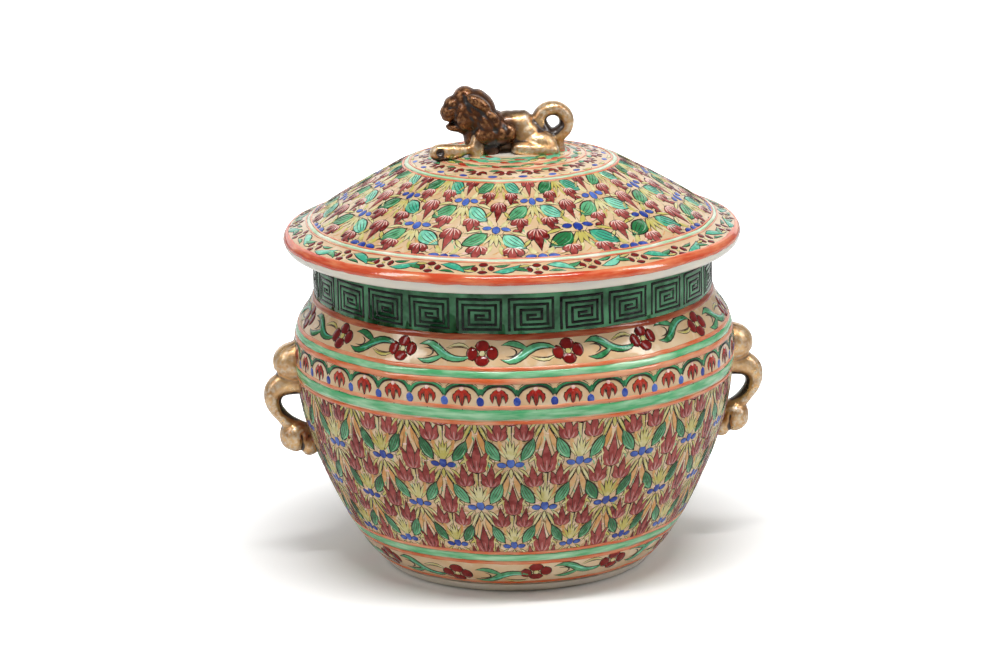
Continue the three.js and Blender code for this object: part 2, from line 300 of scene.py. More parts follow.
jar_curve = smooth_through(jar_side)
neck_radius = jar_side[-1][0]
neck_inner = neck_radius - wall
jar_outside = np.vstack([
    jar_curve,
    [(neck_radius, height) for height in np.linspace(jar_side[-1][1] + 1, neck_top - lip_rounding, 16)],
])
jar_inside = moved_in(jar_curve, wall)[::-1]
jar_inside = jar_inside[jar_inside[:, 1] > floor_top + floor_rounding]
jar_section = np.vstack([
    [(0, foot_joint)],
    jar_outside[jar_outside[:, 1] > foot_joint],
    arc((neck_radius - lip_rounding, neck_top - lip_rounding), lip_rounding, 0, 90, 5),
    arc((neck_inner + lip_rounding, neck_top - lip_rounding), lip_rounding, 90, 180, 5),
    jar_inside,
    [(jar_inside[-1][0] - 2, floor_top), (0, floor_top)],
])
foot_outside = jar_curve[jar_curve[:, 1] < foot_joint]
foot_section = np.vstack([
    [(foot_ring_inner, foot_joint), (foot_ring_inner, foot_bevel), (foot_ring_inner + foot_bevel, 0)],
    [(foot_outside[0][0] - foot_bevel, 0)],
    foot_outside[1:],
    [(np.interp(foot_joint, jar_curve[:, 1], jar_curve[:, 0]), foot_joint)],
])
rim_curve = arc((rim_radius - rim_rounding, seat + rim_rounding), rim_rounding, -90, 80, 20)
dome_curve = smooth_through([rim_curve[-1], *lid_top])[1:]
lid_outside = np.vstack([rim_curve, dome_curve])
lid_hollow = moved_in(dome_curve, lid_wall)[::-1]
lid_hollow = lid_hollow[lid_hollow[:, 0] < ring_inner - 3.5]
lid_section = np.vstack([[(0, lid_hollow[0][1])], lid_hollow[1:], [(ring_inner, seat)], lid_outside])
ring_section = np.vstack([
    [(ring_inner, seat + ring_root), (ring_inner, ring_bottom + 1), (ring_inner + 1, ring_bottom)],
    arc((ring_outer - 1, ring_bottom + 1), 1, -90, 0, 5),
    [(ring_outer, seat + ring_root)],
])
print("outline points:", len(jar_section), len(lid_section))

# %% Turning an outline
turns = 256


def new_object(name, vertices, faces):
    """An object from points in millimetres."""
    mesh = bpy.data.meshes.new(name)
    mesh.from_pydata((np.array(vertices) * mm).tolist(), [], faces)
    mesh.update()
    made = bpy.data.objects.new(name, mesh)
    bpy.context.scene.collection.objects.link(made)
    return made


def walls_between(low, high):
    """Faces between two rings of vertices. Where a ring is a single point they are triangles."""
    faces = []
    for i in range(len(low)):
        j = (i + 1) % len(low)
        corners = list(dict.fromkeys((low[i], low[j], high[j], high[i])))
        if len(corners) > 2:
            faces.append(corners)
    return faces


def turned(name, section, closed=False):
    """A wall turned from a section, with single points on the axis."""
    vertices, rings, faces = [], [], []
    angles = np.linspace(0, 2 * math.pi, turns, endpoint=False)
    for radius, height in section:
        if radius < 0.01:
            rings.append([len(vertices)] * turns)
            vertices.append((0, 0, height))
        else:
            rings.append(list(range(len(vertices), len(vertices) + turns)))
            vertices += [(radius * math.cos(a), radius * math.sin(a), height) for a in angles]
    for low, high in zip(rings, rings[1:] + rings[:1] if closed else rings[1:]):
        faces += walls_between(low, high)
    made = new_object(name, vertices, faces)
    made.data.shade_smooth()
    return made


def mark(piece, name, values):
    """Stores one number for each vertex, for the materials to read."""
    layer = piece.data.attributes.new(name, "FLOAT", "POINT")
    layer.data.foreach_set("value", np.asarray(values, np.float32))


def points_of(piece):
    """The vertices of a mesh in millimetres."""
    flat = np.zeros(len(piece.data.vertices) * 3, np.float32)
    piece.data.vertices.foreach_get("co", flat)
    return flat.reshape(-1, 3).astype(float) / mm


def step_between(values, low, high):
    """0 below low and 1 above high, with a soft step between."""
    share = np.clip((values - low) / (high - low), 0, 1)
    return share * share * (3 - 2 * share)


# How thinly the ground covers the foot, and between which heights or radii it starts, ends and fades.
foot_ground = 0.2
ground_starts = (3.4, 5.4)
ground_ends = 118
lid_ground_starts = (126, 127.5)
bare_under_lion = (9, 15)

jar_shell = turned("jar_shell", jar_section)
foot_shell = turned("foot_shell", foot_section, closed=True)
lid_shell = turned("lid_shell", lid_section)
lid_ring = turned("lid_ring", ring_section, closed=True)

jar_points = points_of(jar_shell)
jar_radii = np.hypot(jar_points[:, 0], jar_points[:, 1])
outside_radii = np.interp(jar_points[:, 2], jar_outside[:, 1], jar_outside[:, 0])
on_outside = jar_radii > outside_radii - 0.5 * wall
foot_fade = foot_ground + (1 - foot_ground) * step_between(jar_points[:, 2], *ground_starts)
mark(jar_shell, "painted", on_outside * (jar_points[:, 2] < ground_ends) * foot_fade)
mark(foot_shell, "painted", np.full(len(foot_shell.data.vertices), foot_ground))
lid_points = points_of(lid_shell)
lid_radii = np.hypot(lid_points[:, 0], lid_points[:, 1])
dome_heights = np.interp(-lid_radii, -dome_curve[:, 0], dome_curve[:, 1])
on_top = lid_points[:, 2] > dome_heights - 0.5 * lid_wall
under_lion = 1 - step_between(lid_radii, *bare_under_lion)
mark(lid_shell, "painted", on_top * step_between(lid_points[:, 2], *lid_ground_starts) * (1 - under_lion))
for piece in (jar_shell, lid_shell, foot_shell):
    piece.data.materials.append(porcelain)
lid_ring.data.materials.append(biscuit)
print("shells:", [(piece.name, len(piece.data.polygons)) for piece in (jar_shell, foot_shell, lid_shell)])

# %% [markdown]
# The painting is raised enamel: coloured glass ground with oil, laid on the fired glaze with a brush
# and melted on in a second, cooler firing. Each touch of the brush stands a tenth of a millimetre or
# two above the ground and catches its own light, so every touch is a thin closed pad here and not a
# picture in a shader. A touch is a path with a half width at each place on it. Heights say what was
# laid first: the dark drawing lies lowest, then the colour, then the strokes on top of the colour.

# %% Touches of the brush
under = -0.05
heights = {"ground": 0.03, "edge": 0.07, "colour": 0.13, "top": 0.19, "line": 0.26}
step_up = 0.004
steps = 8
thinnest = 0.03
bevel = 0.45


def touch(path, halves, height, stations=7, blunt=False):
    """A pad along a path, as vertices in millimetres, faces and how far along each vertex is."""
    line = np.array([(*point, half) for point, half in zip(path, halves)], float)
    if not blunt:
        line = smooth_through(line, 0.1)
    lengths = np.r_[0, np.cumsum(np.linalg.norm(np.diff(line[:, :2], axis=0), axis=1))]
    places = np.linspace(0, lengths[-1], stations)
    line = np.c_[[np.interp(places, lengths, column) for column in line.T]].T
    along = np.gradient(line[:, :2], axis=0)
    along /= np.linalg.norm(along, axis=1)[:, None]
    across = np.c_[-along[:, 1], along[:, 0]]
    vertices, rings, faces, shares = [], [], [], []
    for i, (x, y, half) in enumerate(line):
        first = len(vertices)
        if half < thinnest:
            rings.append([first] * 4)
            vertices.append((x, y, 0))
        else:
            rings.append([first, first + 1, first + 2, first + 3])
            shoulder = max(0.5 * half, half - bevel)
            for offset, level in ((half, under), (shoulder, height), (-shoulder, height), (-half, under)):
                vertices.append((*(np.array((x, y)) + offset * across[i]), level))
        shares += [i / (stations - 1)] * (len(vertices) - first)
    for a, b in zip(rings, rings[1:]):
        faces += walls_between(a, b)
    if rings[0][0] != rings[0][1]:
        faces.append(rings[0][::-1])
    if rings[-1][0] != rings[-1][1]:
        faces.append(rings[-1])
    return vertices, faces, shares


class Brush:
    """Draws touches into a motif, a dictionary from an enamel to its touches. The drawing is mirrored
    across where the side is -1, turned over where the flip is -1, and starts at a place along the row."""

    def __init__(self, motif=None, side=1, flip=1, place=0.0):
        self.motif = {} if motif is None else motif
        self.side, self.flip, self.place = side, flip, place

    def both_sides(self):
        """The left and the right hand, which draw the same mirrored."""
        return [Brush(self.motif, side, self.flip, self.place) for side in (-1, 1)]

    def paint(self, pigment, path, halves, height="colour", stations=7, blunt=False):
        """One touch of an enamel. Each later touch lies a hair higher."""
        touches = self.motif.setdefault(pigment, [])
        level = heights[height] + step_up * (len(touches) % steps)
        path = [(self.place + self.side * x, self.flip * y) for x, y in path]
        touches.append(touch(path, halves, level, stations, blunt))

    def edged(self, pigment, path, halves, rim=0.3, stations=7):
        """A touch with a slightly wider dark one under it, which shows as its drawn edge."""
        path = [np.array(point, float) for point in path]
        start = (path[0] - path[1]) / np.linalg.norm(path[0] - path[1])
        end = (path[-1] - path[-2]) / np.linalg.norm(path[-1] - path[-2])
        wider = [path[0] + rim * start, *path[1:-1], path[-1] + rim * end]
        around = [halves[0], *(half + rim for half in halves[1:-1]), halves[-1]]
        self.paint("dark_line", wider, around, "edge", stations)
        self.paint(pigment, path, halves, "colour", stations)

    def thin_line(self, path, half=0.26, stations=6):
        """A fine olive line that lies under the colours."""
        self.paint("olive_line", path, [0.05, half, 0], "edge", stations)


def dot(middle, wide, high, turn=0):
    """Path and half widths of an oval."""
    lean = math.radians(turn)
    shares = np.array([-1, -0.94, -0.6, 0, 0.6, 0.94, 1])
    along = np.array((-math.sin(lean), math.cos(lean)))
    path = [np.array(middle) + share * high * along for share in shares]
    return path, list(wide * np.sqrt(1 - shares ** 2))


def leaf(root, tip, wide, bend=0.0):
    """Path and half widths of a leaf that is pointed at both ends and bends to its left."""
    root, tip = np.array(root, float), np.array(tip, float)
    along = tip - root
    aside = np.array((-along[1], along[0])) * bend
    shares = (0, 0.225, 0.45, 0.725, 1)
    path = [root + share * along + 4 * share * (1 - share) * aside for share in shares]
    return path, [0, 0.78 * wide, wide, 0.72 * wide, 0]


def cut(motif, low, high):
    """The motif without what lies beyond two border lines. What crosses a line is pressed in under it."""
    cover, squeeze = 0.3, 0.03

    def pressed(y):
        return min(max(y, low + squeeze * (y - low)), high + squeeze * (y - high))

    kept = {}
    for pigment, touches in motif.items():
        for vertices, faces, shares in touches:
            rises = [vertex[1] for vertex in vertices]
            if max(rises) > low + cover and min(rises) < high - cover:
                vertices = [(x, pressed(y), z) for x, y, z in vertices]
                kept.setdefault(pigment, []).append((vertices, faces, shares))
    return kept


# %% [markdown]
# One flower lattice covers both the belly and the dome: a blue flower of three touches with a fan of
# yellow leaves and two green leaves above it, and between two flowers a cluster of three red buds. The
# lid has it upside down, wider and flatter, so the same drawing takes its sizes as numbers. Each part
# is a function that draws with the brush.

# %% The flower lattice
def bud(brush, x, base, wide, tall, lean=0.0, on_lid=False):
    """A bud: a round cup, two side petals and a long middle one. The lid's have blunt side petals and
    thin white streaks, the jar's have pointed ones and broad pink streaks."""
    def at(across, up, share=0.0):
        """A place in the bud, in shares of its width, of its height and of its lean."""
        return x + across * wide + share * lean, base + up * tall

    pale, middle_half = ("pale_pink", 0.26) if on_lid else ("bud_pink", 0.46)
    streaks = ((1.0, 0.26, 0.42), (0.52, 0.36, 0.3)) if on_lid else ((0.74, 0.31, 0.44),)
    for side in (-1, 1):
        middle = at(0.3 * side, 0.31, 0.5)
        brush.edged("bud_red", *dot(middle, 0.2 * wide, 0.2 * tall, -6 * side), 0.24, 8)
        if not on_lid:
            brush.edged("bud_red", *leaf(middle, at(0.46 * side, 0.64, 0.7), 0.13 * wide), 0.22, 5)
    brush.edged("bud_red", *dot(at(0, 0.23), 0.5 * wide, 0.23 * tall), 0.26, 8)
    path = [at(0, 0.1), at(0, 0.26), at(0, 0.46, 0.4), at(0, 0.7, 0.8), at(0, 1, 1.4)]
    brush.edged("bud_red", path, [0, 0.2 * wide, 0.23 * wide, 0.13 * wide, 0], 0.24, 8)
    for side in (-1, 1):
        path = [at(0.08 * side, 0.14), at(0.15 * side, 0.3), at(0.19 * side, 0.5, 0.4)]
        brush.paint("dark_line", path, [0.05, 0.2, 0.05], "top", 5)
        for inside, reach, half in streaks:
            bend, tip = at(0.25 * inside * side, 0.36 * reach), at(0.4 * inside * side, reach)
            brush.paint(pale, [at(0.04 * side, 0.04), bend, tip], [0.3 * half, half, 0], "top", 6)
    path = [at(0, 0.05), (x + 0.01, base + 0.2 * tall), at(0, 0.42, 0.3)]
    brush.paint(pale, path, [0.14, middle_half, 0], "top", 6)


def veined_leaf(brush, root, tip, wide, bend, pigment, shade):
    """A leaf with dark veins, and with a thick dark stroke along the side that the shade names."""
    path, halves = leaf(root, tip, wide, bend)
    brush.edged(pigment, path, halves, 0.34, 8)
    along = path[-1] - path[0]
    aside = np.array((-along[1], along[0])) / np.linalg.norm(along)
    for share in (-0.4, 0.06, 0.5):
        line = [point + share * half * aside for point, half in zip(path[1:], halves[1:])]
        brush.paint("dark_line", line, [0.04, 0.17, 0.15, 0], "top", 6)
    line = [point + shade * 0.95 * half * aside for point, half in zip(path, halves)]
    brush.paint("dark_line", line, [0, 0.34, 0.42, 0.3, 0], "top", 8)
    line = [point - shade * 0.55 * half * aside for point, half in zip(path[:-1], halves)]
    brush.paint("pale_green", line, [0, 0.3, 0.34, 0], "top", 7)


def blue_flower(brush, reach):
    for middle, wide, high, turn in (
        ((0, 0.4), 1.7, 2.1, 0), ((-reach, -0.3), 1.3, 1.9, 78), ((reach, -0.2), 1.3, 1.85, 100),
    ):
        brush.edged("blue", *dot(middle, wide, high, turn), 0.12)


def fan(brush, root, reach, tips):
    """Pointed yellow leaves from one root, with a dark line beside each."""
    for tip_x, share, wide in tips:
        foot, tip = (0.25 * tip_x * reach, root), (tip_x * reach, root - 1 + share * reach)
        brush.edged("yellow", *leaf(foot, tip, wide, 0.06 * tip_x), 0.2)


# %% [markdown]
# On the belly the leaves stand up steeply and thin brown lines frame the tip of each long bud, with a
# brighter orange washed in between them.

# %% Belly lattice
def belly_flower():
    brush = Brush()
    for hand in brush.both_sides():
        hand.paint("ground_wash", [(1.2, -5.4), (2.2, -9.6), (3.9, -14.2)], [0.3, 1.35, 0], "edge", 6)
        hand.paint("ground_wash", *leaf((2.0, 3.4), (4.4, 12.4), 1.0, -0.04), "edge")
        stem = [(0.5, -2.2), (1.5, -5.6), (3.5, -9.2), (4.8, -13.6)]
        hand.paint("dark_line", stem, [0.08, 0.3, 0.26, 0], "edge")
        hand.edged("yellow", [(1.3, -2.8), (2.8, -5.8), (4.9, -9.8)], [0.2, 0.85, 0], 0.2, 6)
        hand.edged("yellow", *leaf((2.6, -1.8), (6.6, -6.6), 0.7, 0.08), 0.2)
        hand.thin_line([(2.0, -2.6), (3.8, -5.6), (5.9, -9.4)])
        for reach, spread in ((11.2, 4.4), (8.6, 3.0), (6.4, 5.2)):
            hand.thin_line([(1.2, 2.2), (0.6 * spread, 0.6 * reach), (spread, reach)], 0.24)
        frame_line = [(4.4, 0.6), (8.6, 2.0), (11.2, 8.6), (11.8, 12.8)]
        hand.paint("olive_line", frame_line, [0.05, 0.26, 0.24, 0], "edge", 9)
        hand.edged("yellow", *leaf((6.4, 0.4), (9.8, 3.4), 0.8), 0.18)
    fan(brush, 2.2, 8.4, (
        (-0.66, 0.7, 0.6), (0.64, 0.68, 0.6), (-0.44, 0.88, 0.75), (0.42, 0.9, 0.75), (-0.18, 0.98, 0.8),
        (0.18, 1.0, 0.8), (0.0, 1.12, 0.85),
    ))
    brush.paint("yellow", *dot((0, 3.4), 1.5, 1.9))
    for side in (-1, 1):
        veined_leaf(brush, (side * 3.8, 1.4), (side * 8.9, 10.8), 2.3, -0.05 * side, "leaf_green", side)
    brush.edged("yellow", *leaf((0, -2.0), (0, -6.4), 0.95), 0.2)
    blue_flower(brush, 3.25)
    return brush.motif


def belly_buds():
    """The cluster of three buds, centred between two flowers, on a wash of orange."""
    brush = Brush()
    for middle, wide, high in (((0, 3.6), 4.9, 8.6), ((-4.9, -5.8), 4.4, 5.4), ((4.9, -5.8), 4.4, 5.4)):
        brush.paint("peach_wash", *dot(middle, wide, high), "ground", 9)
    for hand in brush.both_sides():
        hand.edged("yellow", *leaf((3.6, -3.6), (5.2, 5.4), 0.75, 0.08), 0.2)
        hand.thin_line([(4.9, -3.0), (6.6, 1.4), (6.0, 6.4)])
    brush.paint("dark_line", [(0.5, -3.6), (0.3, -6.5), (0.1, -10.6)], [0.35, 0.26, 0.05], "edge", 5)
    brush.paint("yellow", [(-0.4, -4), (-0.5, -6.5), (-0.2, -9.6)], [0.3, 0.5, 0.05], "colour", 5)
    bud(brush, -4.7, -9.9, 7.4, 10.2, -0.5)
    bud(brush, 4.7, -9.9, 7.4, 10.2, 0.5)
    bud(brush, 0, -3.9, 8.4, 14.4)
    return brush.motif


# %% [markdown]
# On the dome the leaves spread wide, and yellow strokes and small red berries fill the ground.

# %% Dome lattice
def dome_flower():
    brush = Brush()
    for hand in brush.both_sides():
        hand.paint("dark_line", [(1.0, -1.8), (3.6, -3.2), (5.6, -6.4)], [0.08, 0.26, 0], "edge", 6)
        hand.paint("yellow", *leaf((1.4, -1.4), (3.8, -5.6), 1.15, 0.1))
        hand.edged("yellow", *leaf((5.2, 1.4), (11.4, 3.6), 0.95, -0.08), 0.18)
        for reach, spread in ((12.2, 6.0), (9.0, 3.0), (5.6, 8.6)):
            hand.thin_line([(1.6, 2.6), (0.62 * spread, 0.62 * reach), (spread, reach)])
        hand.thin_line([(4.4, -0.6), (8.6, -2.6), (12.0, -7.0)])
        hand.paint("ground_wash", *leaf((2.2, 4.4), (5.6, 11.6), 1.0, 0.06), "edge")
        hand.paint("pale_pink", *leaf((5.0, -2.2), (9.6, -4.4), 0.8, 0.1), "edge")
        hand.edged("bud_red", *dot((7.3, 0.3), 0.9, 1.3, 70), 0.24, 6)
    fan(brush, 2.4, 8.2, ((-0.46, 0.84, 0.95), (0.44, 0.86, 0.95), (-0.15, 0.98, 1.0), (0.16, 1.0, 0.95)))
    for side, pigment in ((-1, "turquoise"), (1, "leaf_green")):
        veined_leaf(brush, (side * 3.0, 2.5), (side * 10.9, 9.6), 3.15, 0.06 * side, pigment, -side)
    blue_flower(brush, 3.5)
    return brush.motif


def dome_buds():
    brush = Brush()
    for hand in brush.both_sides():
        hand.edged("yellow", *leaf((2.6, 5.6), (5.6, 9.8), 0.95), 0.18)
        hand.paint("yellow", *leaf((1.2, -6.4), (2.6, -1.4), 0.9))
        bud(brush, hand.side * 5.2, -5.6, 7.0, 8.2, 0.4 * hand.side, True)
    bud(brush, 0, 0.2, 7.4, 11.6, 0, True)
    return brush.motif


# %% [markdown]
# Between the flowers the ground is not left empty. Loose thin strokes of olive, pink and orange lie on
# it, so pale and fine that they are felt more than seen.

# %% Loose strokes of the ground
def loose_strokes(count, spacing):
    """Strokes set out on a spiral, each at its own slant."""
    brush = Brush()
    kinds = (
        ("olive_line", 0.17), ("pale_pink", 0.42), ("ground_wash", 0.42), ("olive_line", 0.17),
        ("pale_green", 0.42),
    )
    for i in range(count):
        pigment, half = kinds[i % len(kinds)]
        turn, out, slant = 2.4 * i, spacing * math.sqrt(i + 0.4), 1.1 + 0.9 * math.sin(5.0 * i)
        x, y = out * math.cos(turn), out * math.sin(turn)
        reach_x, reach_y = 1.5 * math.cos(slant), 1.5 * math.sin(slant)
        path = [(x - reach_x, y - reach_y), (x + 0.3, y - 0.1), (x + reach_x, y + reach_y)]
        brush.paint(pigment, path, [0.05, half, 0], "ground", 5)
    return brush.motif


# %% [markdown]
# The scroll with four-petalled flowers runs round the shoulder, the foot and the edge of the lid. It
# turns over from one flower to the next, so the motif holds two flowers and both ways of the scroll.

# %% Scroll with flowers
def four_petals(brush, x, y, reach_x, reach_y, wide, high):
    for way_x, way_y in ((0, 1), (0, -1), (1, 0), (-1, 0)):
        middle = (x + way_x * reach_x, y + way_y * reach_y + 0.2 * way_x)
        brush.edged("flower_red", *dot(middle, wide, high, 88 if way_y else 8), 0.22, 8)
    brush.edged("yellow", *dot((x, y), 0.6 * wide, 0.55 * wide), 0.16)


def flower_scroll():
    brush = Brush()
    pitch = 31.0
    green = [(6.6, 2.4), (10.2, 3.3), (13.6, 1.9), (16.4, -0.5), (20.2, -2.2), (24.6, -2.1), (27.4, -0.6)]
    branch = [(17.0, -0.9), (13.6, -2.7), (10.2, -3.6), (7.0, -2.9)]
    hook = [(8.6, 1.4), (11.2, 1.3), (12.6, 0.2), (12.0, -1.2), (10, -2.0)]
    line = [(10.6, 2.9), (13.8, 1.7), (17.4, -0.5), (21.2, -1.8), (25.4, -1.4)]
    gold = [(17.4, 1.7), (20.8, 2.9), (24, 2.9), (26.6, 1.4)]
    below = [(17.2, 1.0), (20.8, 2.0), (24.2, 2.0), (26.6, 0.9)]
    for place, flip in ((0, 1), (pitch, -1)):
        four_petals(brush, place, 0.1 * flip, 3.7, 2.75, 2.2, 2.65)
        hand = Brush(brush.motif, 1, flip, place)
        hand.edged("leaf_green", green, [0, 1.1, 1.5, 1.6, 1.35, 0.85, 0], 0.3, 14)
        hand.edged("leaf_green", branch, [0.5, 1.15, 1.0, 0], 0.3, 8)
        hand.paint("dark_line", hook, [0.05, 0.4, 0.45, 0.32, 0], "edge", 9)
        hand.paint("turquoise", line, [0, 0.45, 0.5, 0.4, 0], "top", 9)
        hand.edged("yellow", gold, [0, 0.6, 0.6, 0], 0.22, 7)
        hand.paint("dark_line", below, [0, 0.2, 0.2, 0], "edge", 7)
    return brush.motif


def edge_scroll():
    """The narrower scroll of the lid's edge, with turquoise leaves."""
    brush = Brush()
    pitch = 19.3
    for place, flip in ((0, 1), (pitch, -1)):
        hand = Brush(brush.motif, 1, flip, place)
        for root, tip, pigment, wide, bend in (
            ((3.6, 2.0), (13.4, -2.4), "turquoise", 1.7, 0.12),
            ((9.4, 0.2), (16.4, 2.2), "leaf_green", 1.2, -0.12),
            ((3.8, -1.6), (9.6, -2.6), "leaf_green", 0.8, 0.1),
            ((12.6, -1.2), (17.0, -1.6), "yellow", 0.85, 0),
        ):
            hand.edged(pigment, *leaf(root, tip, wide, bend), 0.28, 8)
        four_petals(brush, place, 0, 2.9, 2.2, 1.2, 1.6)
    return brush.motif


# %% Scalloped border
def scallop():
    """One green arch with a red tassel inside and a blue dot under its foot."""
    brush = Brush()
    half_pitch = 6.7
    arch = [(-half_pitch, -0.1), (-5.2, 2.2), (-2.2, 3.6), (2.2, 3.6), (5.2, 2.2), (half_pitch, -0.1)]
    brush.edged("leaf_dark", arch, [0.8, 0.66, 0.42, 0.42, 0.66, 0.8], 0.18, 12)
    under_arch = [(x * 0.93, y - 0.75) for x, y in arch]
    brush.paint("dark_line", under_arch, [0.1, 0.3, 0.34, 0.34, 0.3, 0.1], "top", 12)
    for hand in brush.both_sides():
        hand.paint("leaf_dark", *dot((half_pitch * 0.99, 0.9), 0.8, 1.2))
        hand.thin_line([(6.2, 2.6), (4.2, 4.1), (1.6, 4.9)], stations=7)
    for lean, drop, wide in ((-2.6, -3.3, 0.9), (2.6, -3.3, 0.9), (0, -4.7, 1.05)):
        path = [(0.4 * lean, 0.9), (0.95 * lean, -0.3), (lean, 0.6 * drop), (0.9 * lean, drop)]
        brush.edged("bright_red", path, [0.4, wide, 0.75 * wide, 0], 0.24, 6)
    brush.edged("bright_red", *dot((0, 0.5), 2.5, 1.5), 0.24, 8)
    brush.paint("dark_line", [(0.1, -1.0), (0, -3.4), (0.1, -6.2)], [0.05, 0.28, 0.05], "top", 5)
    for lean in (-1.3, 1.4):
        path = [(0.5 * lean, 0.4), (lean, -0.9), (1.1 * lean, -2.2)]
        brush.paint("dark_line", path, [0.05, 0.24, 0], "top", 5)
    brush.paint("pale_pink", *dot((0, 2.0), 0.95, 0.85), "top")
    brush.paint("blue", *dot((half_pitch, -2.8), 1.5, 1.9, 6))
    return brush.motif


# %% [markdown]
# The neck has a square key fret in dark lines under a translucent green. The green is laid as one
# band right round, and the lines stand in it as straight touches with blunt ends.

# %% Key fret and lines
def key_fret():
    brush = Brush()
    corners = [
        (1.3, -0.3), (-1.5, -0.3), (-1.5, -1.8), (3.5, -1.8), (3.5, 1.6), (-3.9, 1.6), (-3.9, -3.7),
        (5.6, -3.7), (5.6, 3.5), (-6.1, 3.5), (-6.1, -5.4), (7.5, -5.4), (7.5, 5.5), (-8.1, 5.5),
        (-8.1, -5.6),
    ]
    for start, end in zip(corners, corners[1:]):
        start, end = np.array(start), np.array(end)
        over = 0.4 * (end - start) / np.linalg.norm(end - start)
        stations = 2 + int(np.linalg.norm(end - start) / 2.2)
        brush.paint("fret_line", [start - over, end + over], [0.6, 0.6], "top", stations, True)
    return brush.motif


strip_length = 60.0
strips_round = 8
strip_bevel = 0.25


def ring_strip(pigment, half, height="line"):
    """An eighth of a line right round. It meets itself end to end and swells a little here and there."""
    stations = 49
    inner = max(2, math.ceil(2 * half))
    edge = 1 - strip_bevel / half
    tops = [(edge - 2 * edge * i / (inner - 1), heights[height]) for i in range(inner)]
    levels = [(1, under), *tops, (-1, under)]
    vertices, rings, faces = [], [], []
    for i in range(stations):
        turn = 2 * math.pi * i / (stations - 1)
        swell = min(half, 2) * (0.07 * math.sin(2 * turn) + 0.05 * math.sin(5 * turn + 1))
        rings.append(range(len(vertices), len(vertices) + len(levels)))
        x = strip_length * i / (stations - 1)
        vertices += [(x, share * half + math.copysign(swell, share), z) for share, z in levels]
    for a, b in zip(rings, rings[1:]):
        faces += walls_between(a, b)
    return {pigment: [(vertices, faces, [0.5] * len(vertices))]}


# %% [markdown]
# Under the lion the dome has looser work: a narrow ring of blue and red touches, and a green patch with
# dabs of red and yellow, where the painter only filled the ground.

# %% Touches round the lion
def crown_ring():
    """A blue dot, and further up a small red flower with a white middle."""
    brush = Brush()
    flower = Brush(brush.motif, place=4.6)
    brush.paint("blue", *dot((0, 0), 1.15, 1.9, 90))
    brush.edged("yellow", *leaf((2.6, -0.6), (8.2, -0.9), 0.8, -0.1), 0.18)
    for hand in flower.both_sides():
        hand.edged("flower_red", [(0.4, 3.0), (2.4, 4.5), (4.8, 2.6)], [0.5, 1.35, 0], 0.34, 6)
        hand.edged("flower_red", *dot((1.5, 2.2), 0.9, 1.2, 60), 0.3, 6)
    flower.paint("pale_pink", *dot((0, 3.9), 0.9, 1.0), "top")
    brush.edged("leaf_green", *leaf((-2.6, 5.2), (2.4, 5.6), 1.2, 0.06), 0.2)
    return brush.motif


def crown_dabs(wash, broad):
    """A long green touch, a yellow and a red one, beside a broad touch of the pigment that is given."""
    brush = Brush()
    brush.paint(wash, *dot((0, 0.2), broad, 5.4, 88), "edge")
    brush.paint("leaf_green", *dot((7.6, 0.8), 1.5, 3.4, 94), "edge")
    brush.edged("yellow", *leaf((4.4, -1.2), (9.0, -0.8), 1.1, 0.1), 0.16)
    brush.edged("bright_red", *leaf((9.4, 0.9), (14.2, -0.4), 1.25, -0.1), 0.14)
    brush.paint("bright_red", *leaf((-3.6, -1.9), (1.2, -2.0), 0.7, 0.1))
    return brush.motif


# %% [markdown]
# What repeats is placed by Geometry Nodes. One tree sets out rows of points in flat measure, puts the
# motif on each with a small unevenness of the hand, and wraps the flat drawing onto the jar: the way
# along becomes a turn about the axis, the way up becomes a length along the outline, and the height of
# the enamel goes out along the normal. Each enamel is one mesh, and each band of it is one modifier
# that adds its rows to what came before.

